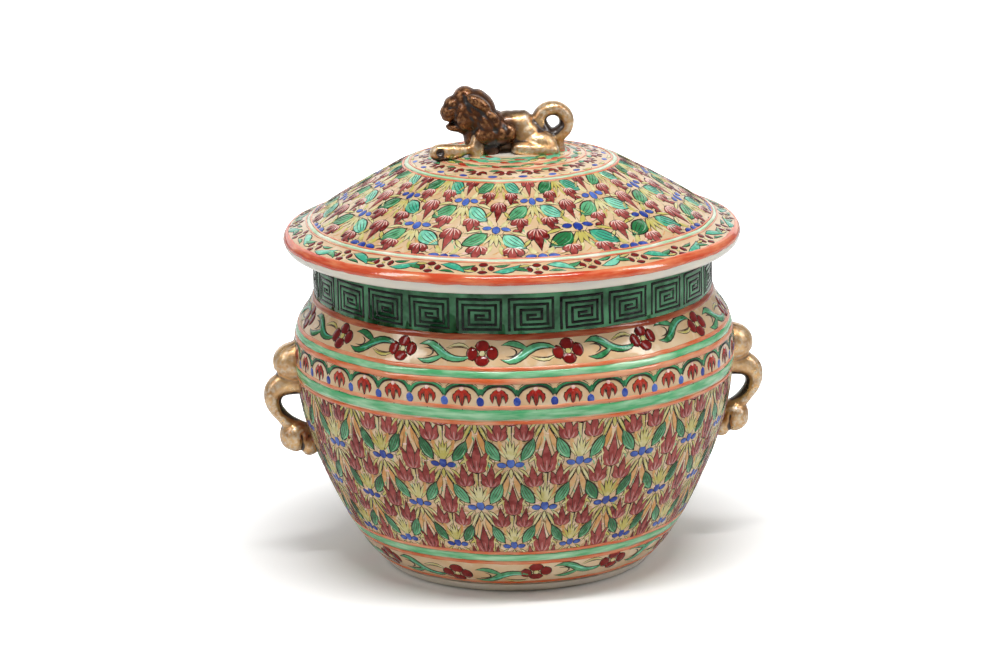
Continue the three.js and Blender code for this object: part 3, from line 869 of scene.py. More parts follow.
# %% The tree that sets out and wraps rows
def rows_tree():
    tree = bpy.data.node_groups.new("rows_of_enamel", "GeometryNodeTree")
    sockets = {
        "Geometry": ["Enamel"], "Object": ["Motif", "Outline"], "Material": ["Material"],
        "Int": ["Columns", "Rows", "Seed"],
        "Float": [
            "Pitch", "First Height", "Row Height", "Stagger", "Start Angle", "Turn", "Unevenness", "Waver",
        ],
    }
    for kind, names in sockets.items():
        for name in names:
            tree.interface.new_socket(name=name, in_out="INPUT", socket_type="NodeSocket" + kind)
    tree.interface.new_socket(name="Enamel", in_out="OUTPUT", socket_type="NodeSocketGeometry")
    given = add_node(tree, "NodeGroupInput").outputs

    def sums(operation, first, second=0.0):
        return sum_of(tree, operation, first, second)

    def geometry(kind, inputs=None, output=0, **options):
        return add_node(tree, "GeometryNode" + kind, inputs, **options).outputs[output]

    def vector_of(x=0.0, y=0.0, z=0.0):
        return add_node(tree, "ShaderNodeCombineXYZ", {"X": x, "Y": y, "Z": z}).outputs[0]

    def parts_of(vector):
        return add_node(tree, "ShaderNodeSeparateXYZ", {0: vector}).outputs

    def vectors(operation, first, second):
        return add_node(tree, "ShaderNodeVectorMath", {0: first, 1: second}, operation=operation).outputs[0]

    def scaled(vector, size):
        inputs = {0: vector, "Scale": size}
        return add_node(tree, "ShaderNodeVectorMath", inputs, operation="SCALE").outputs[0]

    def round_axis(angle, radius, height):
        """The place at an angle about the axis, at a radius and a height."""
        x, y = (sums("MULTIPLY", sums(way, angle), radius) for way in ("COSINE", "SINE"))
        return vector_of(x, y, height)

    def random_way(seed_step):
        inputs = {0: (-1, -1, -1), "Seed": sums("ADD", given["Seed"], seed_step)}
        return add_node(tree, "FunctionNodeRandomValue", inputs, data_type="FLOAT_VECTOR").outputs["Value"]

    index = geometry("InputIndex")
    row = sums("FLOOR", sums("DIVIDE", sums("ADD", index, 0.5), given["Columns"]))
    column = sums("SUBTRACT", index, sums("MULTIPLY", row, given["Columns"]))
    aside = sums("MULTIPLY", sums("MODULO", row, 2.0), given["Stagger"])
    x = sums("MULTIPLY", sums("ADD", column, aside), given["Pitch"])
    y = sums("ADD", given["First Height"], sums("MULTIPLY", row, given["Row Height"]))
    slip = vectors("MULTIPLY", scaled(random_way(1.0), given["Unevenness"]), (1, 1, 0))
    slant, growth = 0.22 / mm, 0.2 / mm
    hand = parts_of(scaled(random_way(2.0), given["Unevenness"]))
    size = sums("ADD", 1.0, sums("MULTIPLY", hand["Y"], growth))
    placed = geometry("InstanceOnPoints", {
        "Points": geometry("Points", {
            "Count": sums("MULTIPLY", given["Columns"], given["Rows"]),
            "Position": vectors("ADD", vector_of(x, y), slip),
        }),
        "Instance": geometry("ObjectInfo", {"Object": given["Motif"]}, "Geometry"),
        "Rotation": vector_of(z=sums("ADD", given["Turn"], sums("MULTIPLY", hand["X"], slant))),
        "Scale": vector_of(size, size, 1.0),
    })
    load = {"Geometry": placed, "Name": "load", "Value": parts_of(random_way(3.0))["X"]}
    placed = geometry("StoreNamedAttribute", load, data_type="FLOAT", domain="INSTANCE")
    flat = geometry("RealizeInstances", {"Geometry": placed})

    part = parts_of(geometry("InputPosition"))
    radius = sums("DIVIDE", sums("MULTIPLY", given["Columns"], given["Pitch"]), 2 * math.pi)
    angle = sums("DIVIDE", part["X"], radius)
    round_place = round_axis(angle, radius, part["Y"])
    waver, same_place = (0, 0, 0), 0.002 * mm
    for scale, share in ((1 / (26 * mm), 1.6), (1 / (5 * mm), 0.5)):
        noise = add_node(tree, "ShaderNodeTexNoise", {"Vector": round_place, "Scale": scale, "Detail": 1.0})
        even = vectors("SUBTRACT", noise.outputs["Color"], (0.5, 0.5, 0.5))
        waver = vectors("ADD", scaled(scaled(even, share), given["Waver"]), waver)
    shift = parts_of(waver)
    angle = sums("ADD", sums("ADD", angle, sums("DIVIDE", shift["X"], radius)), given["Start Angle"])
    outline = geometry("ObjectInfo", {"Object": given["Outline"]}, "Geometry")
    height = sums("ADD", part["Y"], shift["Y"])
    sample = add_node(
        tree, "GeometryNodeSampleCurve", {"Curves": outline, "Length": height}, mode="LENGTH"
    ).outputs
    slope = parts_of(sample["Tangent"])
    outwards = vector_of(slope["Z"], 0.0, sums("MULTIPLY", slope["X"], -1.0))
    proud = parts_of(vectors("ADD", sample["Position"], scaled(outwards, part["Z"])))
    wrapped = round_axis(angle, proud["X"], proud["Z"])
    rows = geometry("SetPosition", {"Geometry": flat, "Position": wrapped})
    rows = geometry("MergeByDistance", {"Geometry": rows, "Distance": same_place})
    rows = geometry("SetMaterial", {"Geometry": rows, "Material": given["Material"]})
    both = add_node(tree, "GeometryNodeJoinGeometry", {0: rows})
    tree.links.new(given["Enamel"], both.inputs[0])
    add_node(tree, "NodeGroupOutput", {0: both.outputs[0]})
    return tree


# %% [markdown]
# Coloured enamels are lead glasses. They are glossy, a little translucent, deeper where they lie thick
# and paler where they run thin. Each takes two colours and mixes them by patches, by the random load of
# the brush, and along the touch, as the attributes `load` and `along` say. A line drawn with the jar
# turning on the wheel is streaked the way it was drawn.

# %% Enamels
def enamel(name, thick, thin, loaded=0.35, drawn=0.0, streaked=False, patch=2.4, gloss=0.34):
    """A glossy enamel. Loaded is how much each touch differs, and drawn how much it pales to its foot."""
    material, tree, shader, place = new_material(name)
    patches = mottle(tree, place, patch * mm, 0.35, 0.75)
    if streaked:
        inputs = {0: place, 1: (1, 1, 7)}
        flat = add_node(tree, "ShaderNodeVectorMath", inputs, operation="MULTIPLY").outputs[0]
        patches = mottle(tree, flat, 13 * mm, 0.38, 0.68, 5.0)
    load = sum_of(tree, "MULTIPLY", attribute(tree, "load"), loaded)
    foot = ranged(tree, attribute(tree, "along"), 0.0, 0.75, drawn, 0.0)
    share = sum_of(tree, "ADD", sum_of(tree, "ADD", patches, load), foot, clamp=True)
    ripples = mottle(tree, place, 1.1 * mm, 0.3, 0.7, 2.0)
    feed(tree, shader, {
        "Base Color": blended(tree, share, thick, thin), "Normal": relief(tree, ripples, 0.016 * mm),
        "Roughness": 0.09, "IOR": 1.52, "Specular IOR Level": gloss,
    })
    return material


def wheel_enamel(name, thick, thin, gloss=0.34):
    """An enamel of lines drawn with the jar turning on the wheel."""
    return enamel(name, thick, thin, 0.2, streaked=True, gloss=gloss)


enamels = {
    "dark_line": enamel("brown-black drawing enamel", "#211B14", "#40331F", gloss=0.25),
    "fret_line": enamel("black fret enamel under green", "#080E0A", "#182C1E", gloss=0.2),
    "olive_line": enamel("olive drawing enamel", "#4E4424", "#8A7C4C"),
    "bud_red": enamel("iron-red enamel of the buds", "#6A0A0A", "#A84E48", 0.35, 0.62, gloss=0.22),
    "bud_pink": enamel("pink streaks of the buds", "#A85A58", "#CC9890"),
    "flower_red": enamel("crimson enamel of the flowers", "#6C0608", "#8C1A14", gloss=0.24),
    "bright_red": enamel("bright iron-red enamel", "#9C180E", "#BE4028", gloss=0.26),
    "pale_pink": enamel("pale pink enamel", "#E6B6AA", "#F0D8CC"),
    "orange": wheel_enamel("coral-orange enamel", "#D4602C", "#E2A27A", 0.5),
    "rim_orange": wheel_enamel("red-orange enamel of the rim", "#D0400F", "#EC8C5A", 0.9),
    "pink_line": wheel_enamel("thin orange-pink line enamel", "#DE6E4A", "#F2B898"),
    "mint_line": wheel_enamel("thin pale green line enamel", "#A4CF9E", "#ECEEDC"),
    "brick": wheel_enamel("brick-red enamel under the neck", "#9C3A1A", "#C0714A"),
    "leaf_green": enamel("copper-green enamel of the leaves", "#166E38", "#62B280", 0.55, gloss=0.45),
    "leaf_dark": enamel("deep copper-green enamel", "#0F5430", "#3E9A64", 0.5),
    "turquoise": enamel("turquoise enamel", "#35A383", "#8EDCC0", 0.5),
    "crown_green": enamel("blue-green enamel of the crown", "#1E9060", "#5CBE92", 0.4),
    "pale_green": wheel_enamel("pale green enamel of the lines", "#45AA6A", "#ACDAB0", 0.6),
    "neck_green": enamel("green enamel of the neck", "#0E4624", "#549A6C", 0.2, patch=8),
    "yellow": enamel("yellow-green enamel", "#BFB25A", "#DBD2A0", 0.5),
    "blue": enamel("cobalt-blue enamel", "#1C3590", "#5474C8", 0.5),
    "ground_wash": enamel("orange wash of the ground", "#CE904E", "#DCB07A", 0.5),
    "peach_wash": enamel("peach wash round the buds", "#BC8F5E", "#D2AF80", 0.5, gloss=0.5),
}

# %% [markdown]
# The bands of the painting are listed from the foot up, each with its motif, its outline, how many
# times it goes round, where its middle lies along the outline, and how far apart its rows are. The
# length along the outline starts at the foot of the jar and at the underside of the lid's rim.

# %% Bands
def band(
    outline, motif, columns, pitch, height, rows=1, rise=0.0, stagger=0.0, start=0.0, turn=0.0,
    slip=0.2, waver=0.5,
):
    """What a row of a motif needs. The start is in degrees from the side that faces the camera."""
    return {
        "outline": outline, "motif": motif, "Columns": columns, "Rows": rows, "Pitch": pitch * mm,
        "First Height": height * mm, "Row Height": rise * mm, "Stagger": stagger,
        "Start Angle": facing_angle + math.radians(start), "Turn": math.radians(turn),
        "Unevenness": slip * mm, "Waver": waver * mm,
    }


def line(outline, pigment, height, half, level="line"):
    strip = ring_strip(pigment, half, level)
    return band(outline, strip, strips_round, strip_length, height, slip=0.0, waver=0.75)


def lattice(outline, flower, buds, columns, pitch, heights_up, borders, first, turn, slip):
    """Rows of flowers and of bud clusters, each row half a column on, cut at the two border lines."""
    rows = []
    for i, height in enumerate(heights_up):
        low, high = (border - height for border in borders)
        if turn:
            low, high = -high, -low
        for motif, aside in ((flower(), i % 2), (buds(), (i + 1) % 2)):
            rows.append(band(
                outline, cut(motif, low, high), columns, pitch, height,
                start=first + aside * 180 / columns, turn=turn, slip=slip, waver=0.7,
            ))
    return rows


bands = [
    line("jar", "orange", 6.6, 0.75),
    band("jar", flower_scroll(), 6, 62.0, 13.2, start=6),
    line("jar", "orange", 19.1, 0.9),
    line("jar", "pale_green", 22.0, 1.7),
    line("jar", "orange", 24.7, 0.8),
    *lattice(
        "jar", belly_flower, belly_buds, 20, 24.82, [28.4, 47.15, 65.9, 84.65], (24.7, 82.5), -1.5, 0, 0.28
    ),
    band("jar", loose_strokes(12, 1.75), 40, 12.41, 31.5, 5, 11.4, 0.5, slip=0.6),
    line("jar", "orange", 82.5, 0.75),
    line("jar", "pale_green", 85.6, 1.85),
    line("jar", "orange", 88.4, 0.7),
    band("jar", scallop(), 39, 13.4, 93.2, start=5),
    line("jar", "orange", 98.0, 1.1),
    line("jar", "pale_green", 100.4, 1.3),
    line("jar", "orange", 102.4, 0.8),
    band("jar", flower_scroll(), 8, 62.0, 108.3, start=14),
    line("jar", "brick", 114.4, 1.1),
    line("jar", "neck_green", 123.1, 7.6, "ground"),
    band("jar", key_fret(), 25, 18.9, 122.7, start=5, slip=0.1, waver=0.6),
    line("lid", "rim_orange", 8.2, 2.0),
    band("lid", edge_scroll(), 13, 38.6, 13.7, start=6),
    line("lid", "pink_line", 17.7, 0.4),
    line("lid", "mint_line", 18.7, 0.75),
    line("lid", "pink_line", 19.8, 0.45),
    *lattice(
        "lid", dome_flower, dome_buds, 13, 29.0, [20.6, 34.8, 49.0, 63.2], (19.8, 60.3), 8.35, 180, 0.4
    ),
    band("lid", loose_strokes(13, 1.9), 26, 14.5, 25.6, 4, 9.6, 0.5, slip=0.6),
    line("lid", "pink_line", 60.3, 0.5),
    line("lid", "mint_line", 61.7, 0.8),
    line("lid", "pink_line", 63.0, 0.4),
    line("lid", "pink_line", 72.8, 0.35),
    line("lid", "pink_line", 78.6, 0.3),
    band("lid", crown_ring(), 20, 11.6, 65.2, start=7, slip=0.25),
    band("lid", crown_dabs("leaf_green", 1.5), 10, 15.86, 75.7, slip=0.5),
    band("lid", crown_dabs("crown_green", 2.1), 8, 15.6, 81.2, start=9, slip=0.5),
    band("lid", crown_dabs("turquoise", 2.7), 7, 13.4, 85.4, start=20, slip=0.5),
]


# %% Laying the bands
def outline_object(name, points):
    """A curve in the plane of X and Z that the tree measures along."""
    curve = bpy.data.curves.new(name, "CURVE")
    curve.dimensions = "3D"
    spline = curve.splines.new("POLY")
    spline.points.add(len(points) - 1)
    for knot, (radius, height) in zip(spline.points, points):
        knot.co = (radius * mm, 0, height * mm, 1)
    made = bpy.data.objects.new(name, curve)
    bpy.context.scene.collection.objects.link(made)
    return made


def motif_object(name, touches):
    """The touches of one enamel as one flat mesh."""
    vertices, faces, along = [], [], []
    for points, corners, shares in touches:
        faces += [[corner + len(vertices) for corner in face] for face in corners]
        vertices += points
        along += shares
    made = new_object(name, vertices, faces)
    made.data.shade_smooth()
    mark(made, "along", along)
    return made


def set_input(modifier, tree, name, value):
    items = tree.interface.items_tree
    socket = next(item for item in items if item.name == name and item.in_out == "INPUT")
    modifier[socket.identifier] = value


def lay_enamels(outlines):
    """Every enamel of a body as one mesh, made by one modifier for each of its bands."""
    tree = rows_tree()
    laid, helpers = [], []
    for body, outline in outlines.items():
        for pigment, material in enamels.items():
            rows = [
                (i, entry) for i, entry in enumerate(bands)
                if entry["outline"] == body and pigment in entry["motif"]
            ]
            if not rows:
                continue
            holder = new_object(f"{body}_{pigment}", [], [])
            for seed, entry in rows:
                source = motif_object(f"motif_{seed}_{pigment}", entry["motif"][pigment])
                helpers.append(source)
                modifier = holder.modifiers.new(f"band_{seed}", "NODES")
                modifier.node_group = tree
                settings = {key: value for key, value in entry.items() if key[0].isupper()}
                settings |= {"Motif": source, "Outline": outline, "Material": material, "Seed": 10 * seed}
                for name, value in settings.items():
                    set_input(modifier, tree, name, value)
            graph = bpy.context.evaluated_depsgraph_get()
            mesh = bpy.data.meshes.new_from_object(
                holder.evaluated_get(graph), preserve_all_data_layers=True, depsgraph=graph
            )
            mesh.materials.clear()
            mesh.materials.append(material)
            mesh.polygons.foreach_set("material_index", np.zeros(len(mesh.polygons), np.int32))
            holder.modifiers.clear()
            holder.data = mesh
            laid.append((body, holder))
            print(holder.name, "faces:", len(mesh.polygons))
    for helper in helpers + list(outlines.values()):
        bpy.data.objects.remove(helper)
    return laid


laid_enamels = lay_enamels({
    "jar": outline_object("jar_outline", jar_outside),
    "lid": outline_object("lid_outline", lid_outside),
})

# %% [markdown]
# The lion and the handles are pressed and modelled by hand in soft clay and stuck on with slip. They
# could be subdivided cages, but soft clay has no cage: it is lumps pressed together, smoothed with a
# wet finger and then cut with a tool. So each piece starts as overlapping lumps, a voxel remesh joins
# them, a few rounds of smoothing make the clay flow, and lines are pressed in along drawn strokes.

# %% Clay helpers
def lumps(clay, wanted, side=1):
    """Adds rounded lumps, each a centre, half sizes and, if it leans, degrees about Y. A side of -1
    mirrors them across."""
    for (x, y, z), half, *lean in wanted:
        lean = math.radians(lean[0] if lean else 0)
        matrix = (
            Matrix.Translation((x, side * y, z)) @ Matrix.Rotation(lean, 4, "Y")
            @ Matrix.Diagonal((*half, 1))
        )
        bmesh.ops.create_icosphere(clay, subdivisions=3, radius=1, matrix=matrix)


def rolls(clay, wanted, side=1):
    """Adds rolls, each a path and, for each point, a half thickness in its plane and a half width."""
    for path, halves in wanted:
        curve = smooth_through([(*point, *half) for point, half in zip(path, halves)], 0.8)
        lumps(clay, [((x, y, z), (thick, wide, thick)) for x, y, z, thick, wide in curve], side)


def on_both_sides(strokes):
    """Drawn strokes, each a path, a width and an amount, on the one side and mirrored on the other."""
    return [
        ([(x, side * y, z) for x, y, z in path], width, amount)
        for side in (-1, 1) for path, width, amount in strokes
    ]


def soften(points, edges, rounds, share=0.5):
    """Moves each point towards the middle of its neighbours, again and again."""
    count = np.bincount(edges.ravel(), minlength=len(points))[:, None]
    for _ in range(rounds):
        total = np.zeros_like(points)
        for axis in range(points.shape[1]):
            total[:, axis] = np.bincount(edges[:, 0], points[edges[:, 1], axis], len(points))
            total[:, axis] += np.bincount(edges[:, 1], points[edges[:, 0], axis], len(points))
        points = points + share * (total / count - points)
    return points


def distance_to(points, path):
    """How far each point is from a drawn line, in millimetres."""
    nearest = np.full(len(points), np.inf)
    for start, end in zip(path, path[1:]):
        start, end = np.array(start, float), np.array(end, float)
        along = end - start
        share = np.clip((points - start) @ along / (along @ along), 0, 1)
        nearest = np.minimum(nearest, np.linalg.norm(points - start - share[:, None] * along, axis=1))
    return nearest


def joined(name, clay, voxel):
    """The lumps as one skin."""
    rough = bpy.data.meshes.new(name + "_rough")
    clay.to_mesh(rough)
    clay.free()
    rough.transform(Matrix.Scale(mm, 4))
    holder = bpy.data.objects.new(name + "_rough", rough)
    bpy.context.scene.collection.objects.link(holder)
    joining = holder.modifiers.new("joining", "REMESH")
    joining.mode = "VOXEL"
    joining.voxel_size = voxel * mm
    evaluated = holder.evaluated_get(bpy.context.evaluated_depsgraph_get())
    mesh = bpy.data.meshes.new_from_object(evaluated)
    mesh.name = name
    bpy.data.objects.remove(holder)
    piece = bpy.data.objects.new(name, mesh)
    bpy.context.scene.collection.objects.link(piece)
    return piece


def read_all(items, field, kind, width):
    """One field of a mesh's vertices or edges as an array with so many numbers in a row."""
    flat = np.zeros(len(items) * width, kind)
    items.foreach_get(field, flat)
    return flat.reshape(-1, width)


def modelled(name, clay, voxel, rounds, grooves=(), ridges=(), painted_shade_and_highlight=(), stains_and_shade=()):
    """Joins the lumps, smooths them, presses lines in and measures the hollows. Near drawn lines it adds
    painted shade and painted highlight to the hollows, and stains of brown gilding, which also carry painted
    shade."""
    calm_rounds, full_hollow, dirt_and_shade_in_groove = 14, 0.4, 0.6
    piece = joined(name, clay, voxel)
    mesh = piece.data
    edges = read_all(mesh.edges, "vertices", np.int32, 2)
    points = soften(points_of(piece), edges, rounds)
    pressed = np.zeros(len(points))
    for lines, sign in ((grooves, -1), (ridges, 1)):
        for path, width, depth in lines:
            pressed += sign * depth * np.exp(-(distance_to(points, path) / width) ** 2)
    mesh.vertices.foreach_set("co", (points * mm).ravel())
    mesh.update()
    normals = read_all(mesh.vertices, "normal", np.float32, 3)
    points = points + normals * pressed[:, None]
    above_calm = np.einsum("ij,ij->i", points - soften(points, edges, calm_rounds), normals)
    hollow = 0.5 - above_calm / full_hollow - dirt_and_shade_in_groove * np.minimum(pressed, 0)
    # Painted shade darkens near its lines; a negative amount is painted highlight and lightens.
    for path, reach, amount in painted_shade_and_highlight:
        hollow += amount * np.exp(-(distance_to(points, path) / reach) ** 4)
    browned = np.zeros(len(points))
    for path, reach, amount in stains_and_shade:
        browned = np.maximum(browned, amount * np.exp(-(distance_to(points, path) / reach) ** 4))
    mesh.vertices.foreach_set("co", (points * mm).ravel())
    mesh.update()
    mesh.shade_smooth()
    mark(piece, "hollow", np.clip(soften(hollow[:, None], edges, 1)[:, 0], 0, 1))
    mark(piece, "browned", browned)
    print(name, "faces:", len(mesh.polygons))
    return piece


# %% [markdown]
# Each handle is a flat loop of clay, thick where it leaves the shoulder, with a leaf over its upper
# end and a cluster of rounded petals under its lower end.

# %% Handles
strap_path = [
    (79, 71.2), (84, 71.2), (88.4, 70.7), (91.4, 68.6), (92.4, 65.2), (91.6, 61.8), (89.4, 58.6),
    (86.4, 55.4), (81, 52),
]
strap_halves = [4.7, 4.8, 4.7, 4.1, 3.4, 2.9, 2.6, 2.8, 3.2]
strap_half_width = 4.7


def kept_in_wall(piece, depth=2.0):
    """Flattens the root of a handle inside the wall of the jar, so that it doesn't come out within."""
    points = points_of(piece)
    radii = np.hypot(points[:, 0], points[:, 1])
    least = np.interp(points[:, 2], jar_curve[:, 1], jar_curve[:, 0]) - depth
    points[:, :2] *= np.maximum(1, least / radii)[:, None]
    piece.data.vertices.foreach_set("co", (points * mm).ravel())


def handle(name, turn):
    """One handle, modelled at +X and turned to its side of the jar."""
    clay = bmesh.new()
    strap = [(radius, 0, height) for radius, height in strap_path]
    rolls(clay, [(strap, [(half, strap_half_width) for half in strap_halves])])
    lumps(clay, [
        ((83.6, 0, 79.2), (8.5, 7.6, 7.9)), ((80.6, 0, 84.2), (4.6, 6.4, 4.8)),
        ((86.2, 0, 50.4), (4.2, 6.4, 5.8)),
    ])
    for side in (-1, 1):
        lumps(clay, [((84.4, 3.6, 50.2), (4.8, 3.8, 5.4)), ((79.2, 2.6, 46.9), (4.0, 3.6, 4.1))], side)
    grooves = [
        ([(82, across, 88), (88.4, across * 1.1, 84.9), (91.8, across * 0.9, 77.4)], 0.7, 0.24)
        for across in (-5.2, -2.6, 0, 2.6, 5.2)
    ]
    beside = [
        ([(80 + 3 * reach, 8.2, 76.4), (79.6 + 4.2 * reach, 7.6, 85 - 1.6 * reach * reach)], 0.65, 0.42)
        for reach in (0, 1, 2)
    ]
    grooves += on_both_sides(beside + [
        ([(88, 1.4, 56), (90.4, 1.6, 50), (87, 1.6, 44)], 0.8, 0.4),
        ([(81.9, 7.0, 52.4), (81.9, 5.6, 47), (82.2, 3, 44)], 0.8, 0.5),
        ([(79, 8.4, 76.0), (86, 7.6, 75.6), (91, 6, 75.4)], 0.8, 0.7),
    ])
    grooves.append(([(91, -6, 75.4), (91.6, 0, 75.6), (91, 6, 75.4)], 0.8, 0.7))
    # Painted shade inside the loop of the strap, where the hole lies in shadow.
    painted_shade_and_highlight = [
        ([(84, across, 66.4), (88, across, 64.4), (88, across, 60.8), (83, across, 58.4)], 2.4, 0.6)
        for across in (-3, 0, 3)
    ]
    piece = modelled(name, clay, 0.5, 6, grooves, painted_shade_and_highlight=painted_shade_and_highlight)
    kept_in_wall(piece)
    piece.data.transform(Matrix.Rotation(turn, 4, "Z"))
    piece.data.materials.append(gilding)
    return piece


right_handle = handle("right_handle", 0)
left_handle = handle("left_handle", math.pi)

# %% [markdown]
# The lion lies on the crown of the lid with its head up and its mouth open, one foreleg stretched out
# and the other tucked under, and its tail rolled over its back as a broad ring. The mane, the face and
# the shoulders are one lump of clay of their own, browned by a darker gilding.

# %% Lion
def lion_head():
    clay = bmesh.new()
    lumps(clay, [
        ((-13.4, 0, 172.6), (8.4, 8.0, 8.6)), ((-16.6, 0, 178.2), (4.6, 5.4, 4.5)),
        ((-12.4, 0, 176.8), (4.6, 6.2, 4.6), 25), ((-8.8, 0, 166.4), (6.8, 8.4, 7.4)),
        ((-4.2, 0, 165.8), (4.8, 8.1, 7.6), -18), ((-13.2, 0, 163.6), (4.4, 6.4, 6.2)),
        ((-20.8, 0, 175.9), (3.9, 4.4, 3.3)), ((-22.0, 0, 173.2), (4.0, 4.3, 3.5)),
        ((-24.2, 0, 172.9), (2.0, 2.8, 2.2)), ((-23.0, 0, 170.9), (2.6, 3.7, 1.5)),
        ((-20.8, 0, 167.0), (3.5, 3.3, 1.6), 10), ((-17.0, 0, 167.8), (3.8, 4.8, 3.6)),
    ])
    for side in (-1, 1):
        lumps(clay, [
            ((-16.6, 4.4, 171.0), (3.8, 2.8, 4.4)), ((-12.2, 5.6, 176.4), (5.4, 2.7, 2.9), 34),
            ((-8.4, 7.0, 169.4), (4.2, 2.2, 4.8), 20), ((-9.4, 6.8, 164.6), (4.6, 2.9, 3.8)),
            ((-4.6, 6.2, 164.6), (4.8, 3.0, 3.6)), ((-1.2, 5.2, 165.0), (3.4, 3.4, 4.0)),
            ((-8.2, 5.2, 159.4), (4.0, 3.2, 3.8)),
        ], side)
    lock = [(-17.6, 4.6, 180), (-15.4, 7.0, 177), (-11.6, 8.2, 174.2), (-8, 8.4, 170.2), (-5.2, 8.2, 165.4)]
    nape = [(-12.8, 3.4, 181.8), (-9.2, 5.6, 179.4), (-6.4, 6.6, 176), (-3.8, 7.4, 171.2), (-1.6, 7.6, 165.8)]
    jowl = [(-17.4, 5.4, 178.4), (-15.4, 7.2, 174.0), (-14.4, 7.4, 169.0), (-15.2, 6.0, 164.4)]
    grooves = [(lock, 0.9, 0.5), (nape, 0.8, 0.35), (jowl, 0.9, 0.3)]
    for shift in (1.9, 3.9):
        grooves.append(([(x - shift * 0.5, y, z - shift) for x, y, z in lock[1:]], 0.7, 0.22))
    grooves += [
        ([(-24.8, 1.0, 171.9), (-23.2, 3.6, 171.8), (-20.6, 4.9, 172.4)], 0.5, 0.25),
        ([(-22.8, 3.8, 175.0), (-20.6, 5.0, 175.2)], 0.7, 0.35),
    ]
    ridges = [([(-21.8, 4.1, 174.3), (-21.0, 4.4, 174.4)], 0.7, 0.35)]
    painted_shade_and_highlight = [
        # Painted highlight on the lit top of the mane, along its upper lock.
        ([(-16.2, 5.2, 181.0), (-12.6, 7.0, 178.0), (-8.6, 7.6, 174.0)], 2.2, -0.22),
        # Painted shade under the mane, where it meets the lid.
        ([(-9, 8, 160.4), (-4, 8, 159.6)], 3.4, 0.5),
    ]
    drawn = [on_both_sides(strokes) for strokes in (grooves, ridges, painted_shade_and_highlight)]
    return modelled("lion_mane_and_face", clay, 0.42, 5, *drawn)


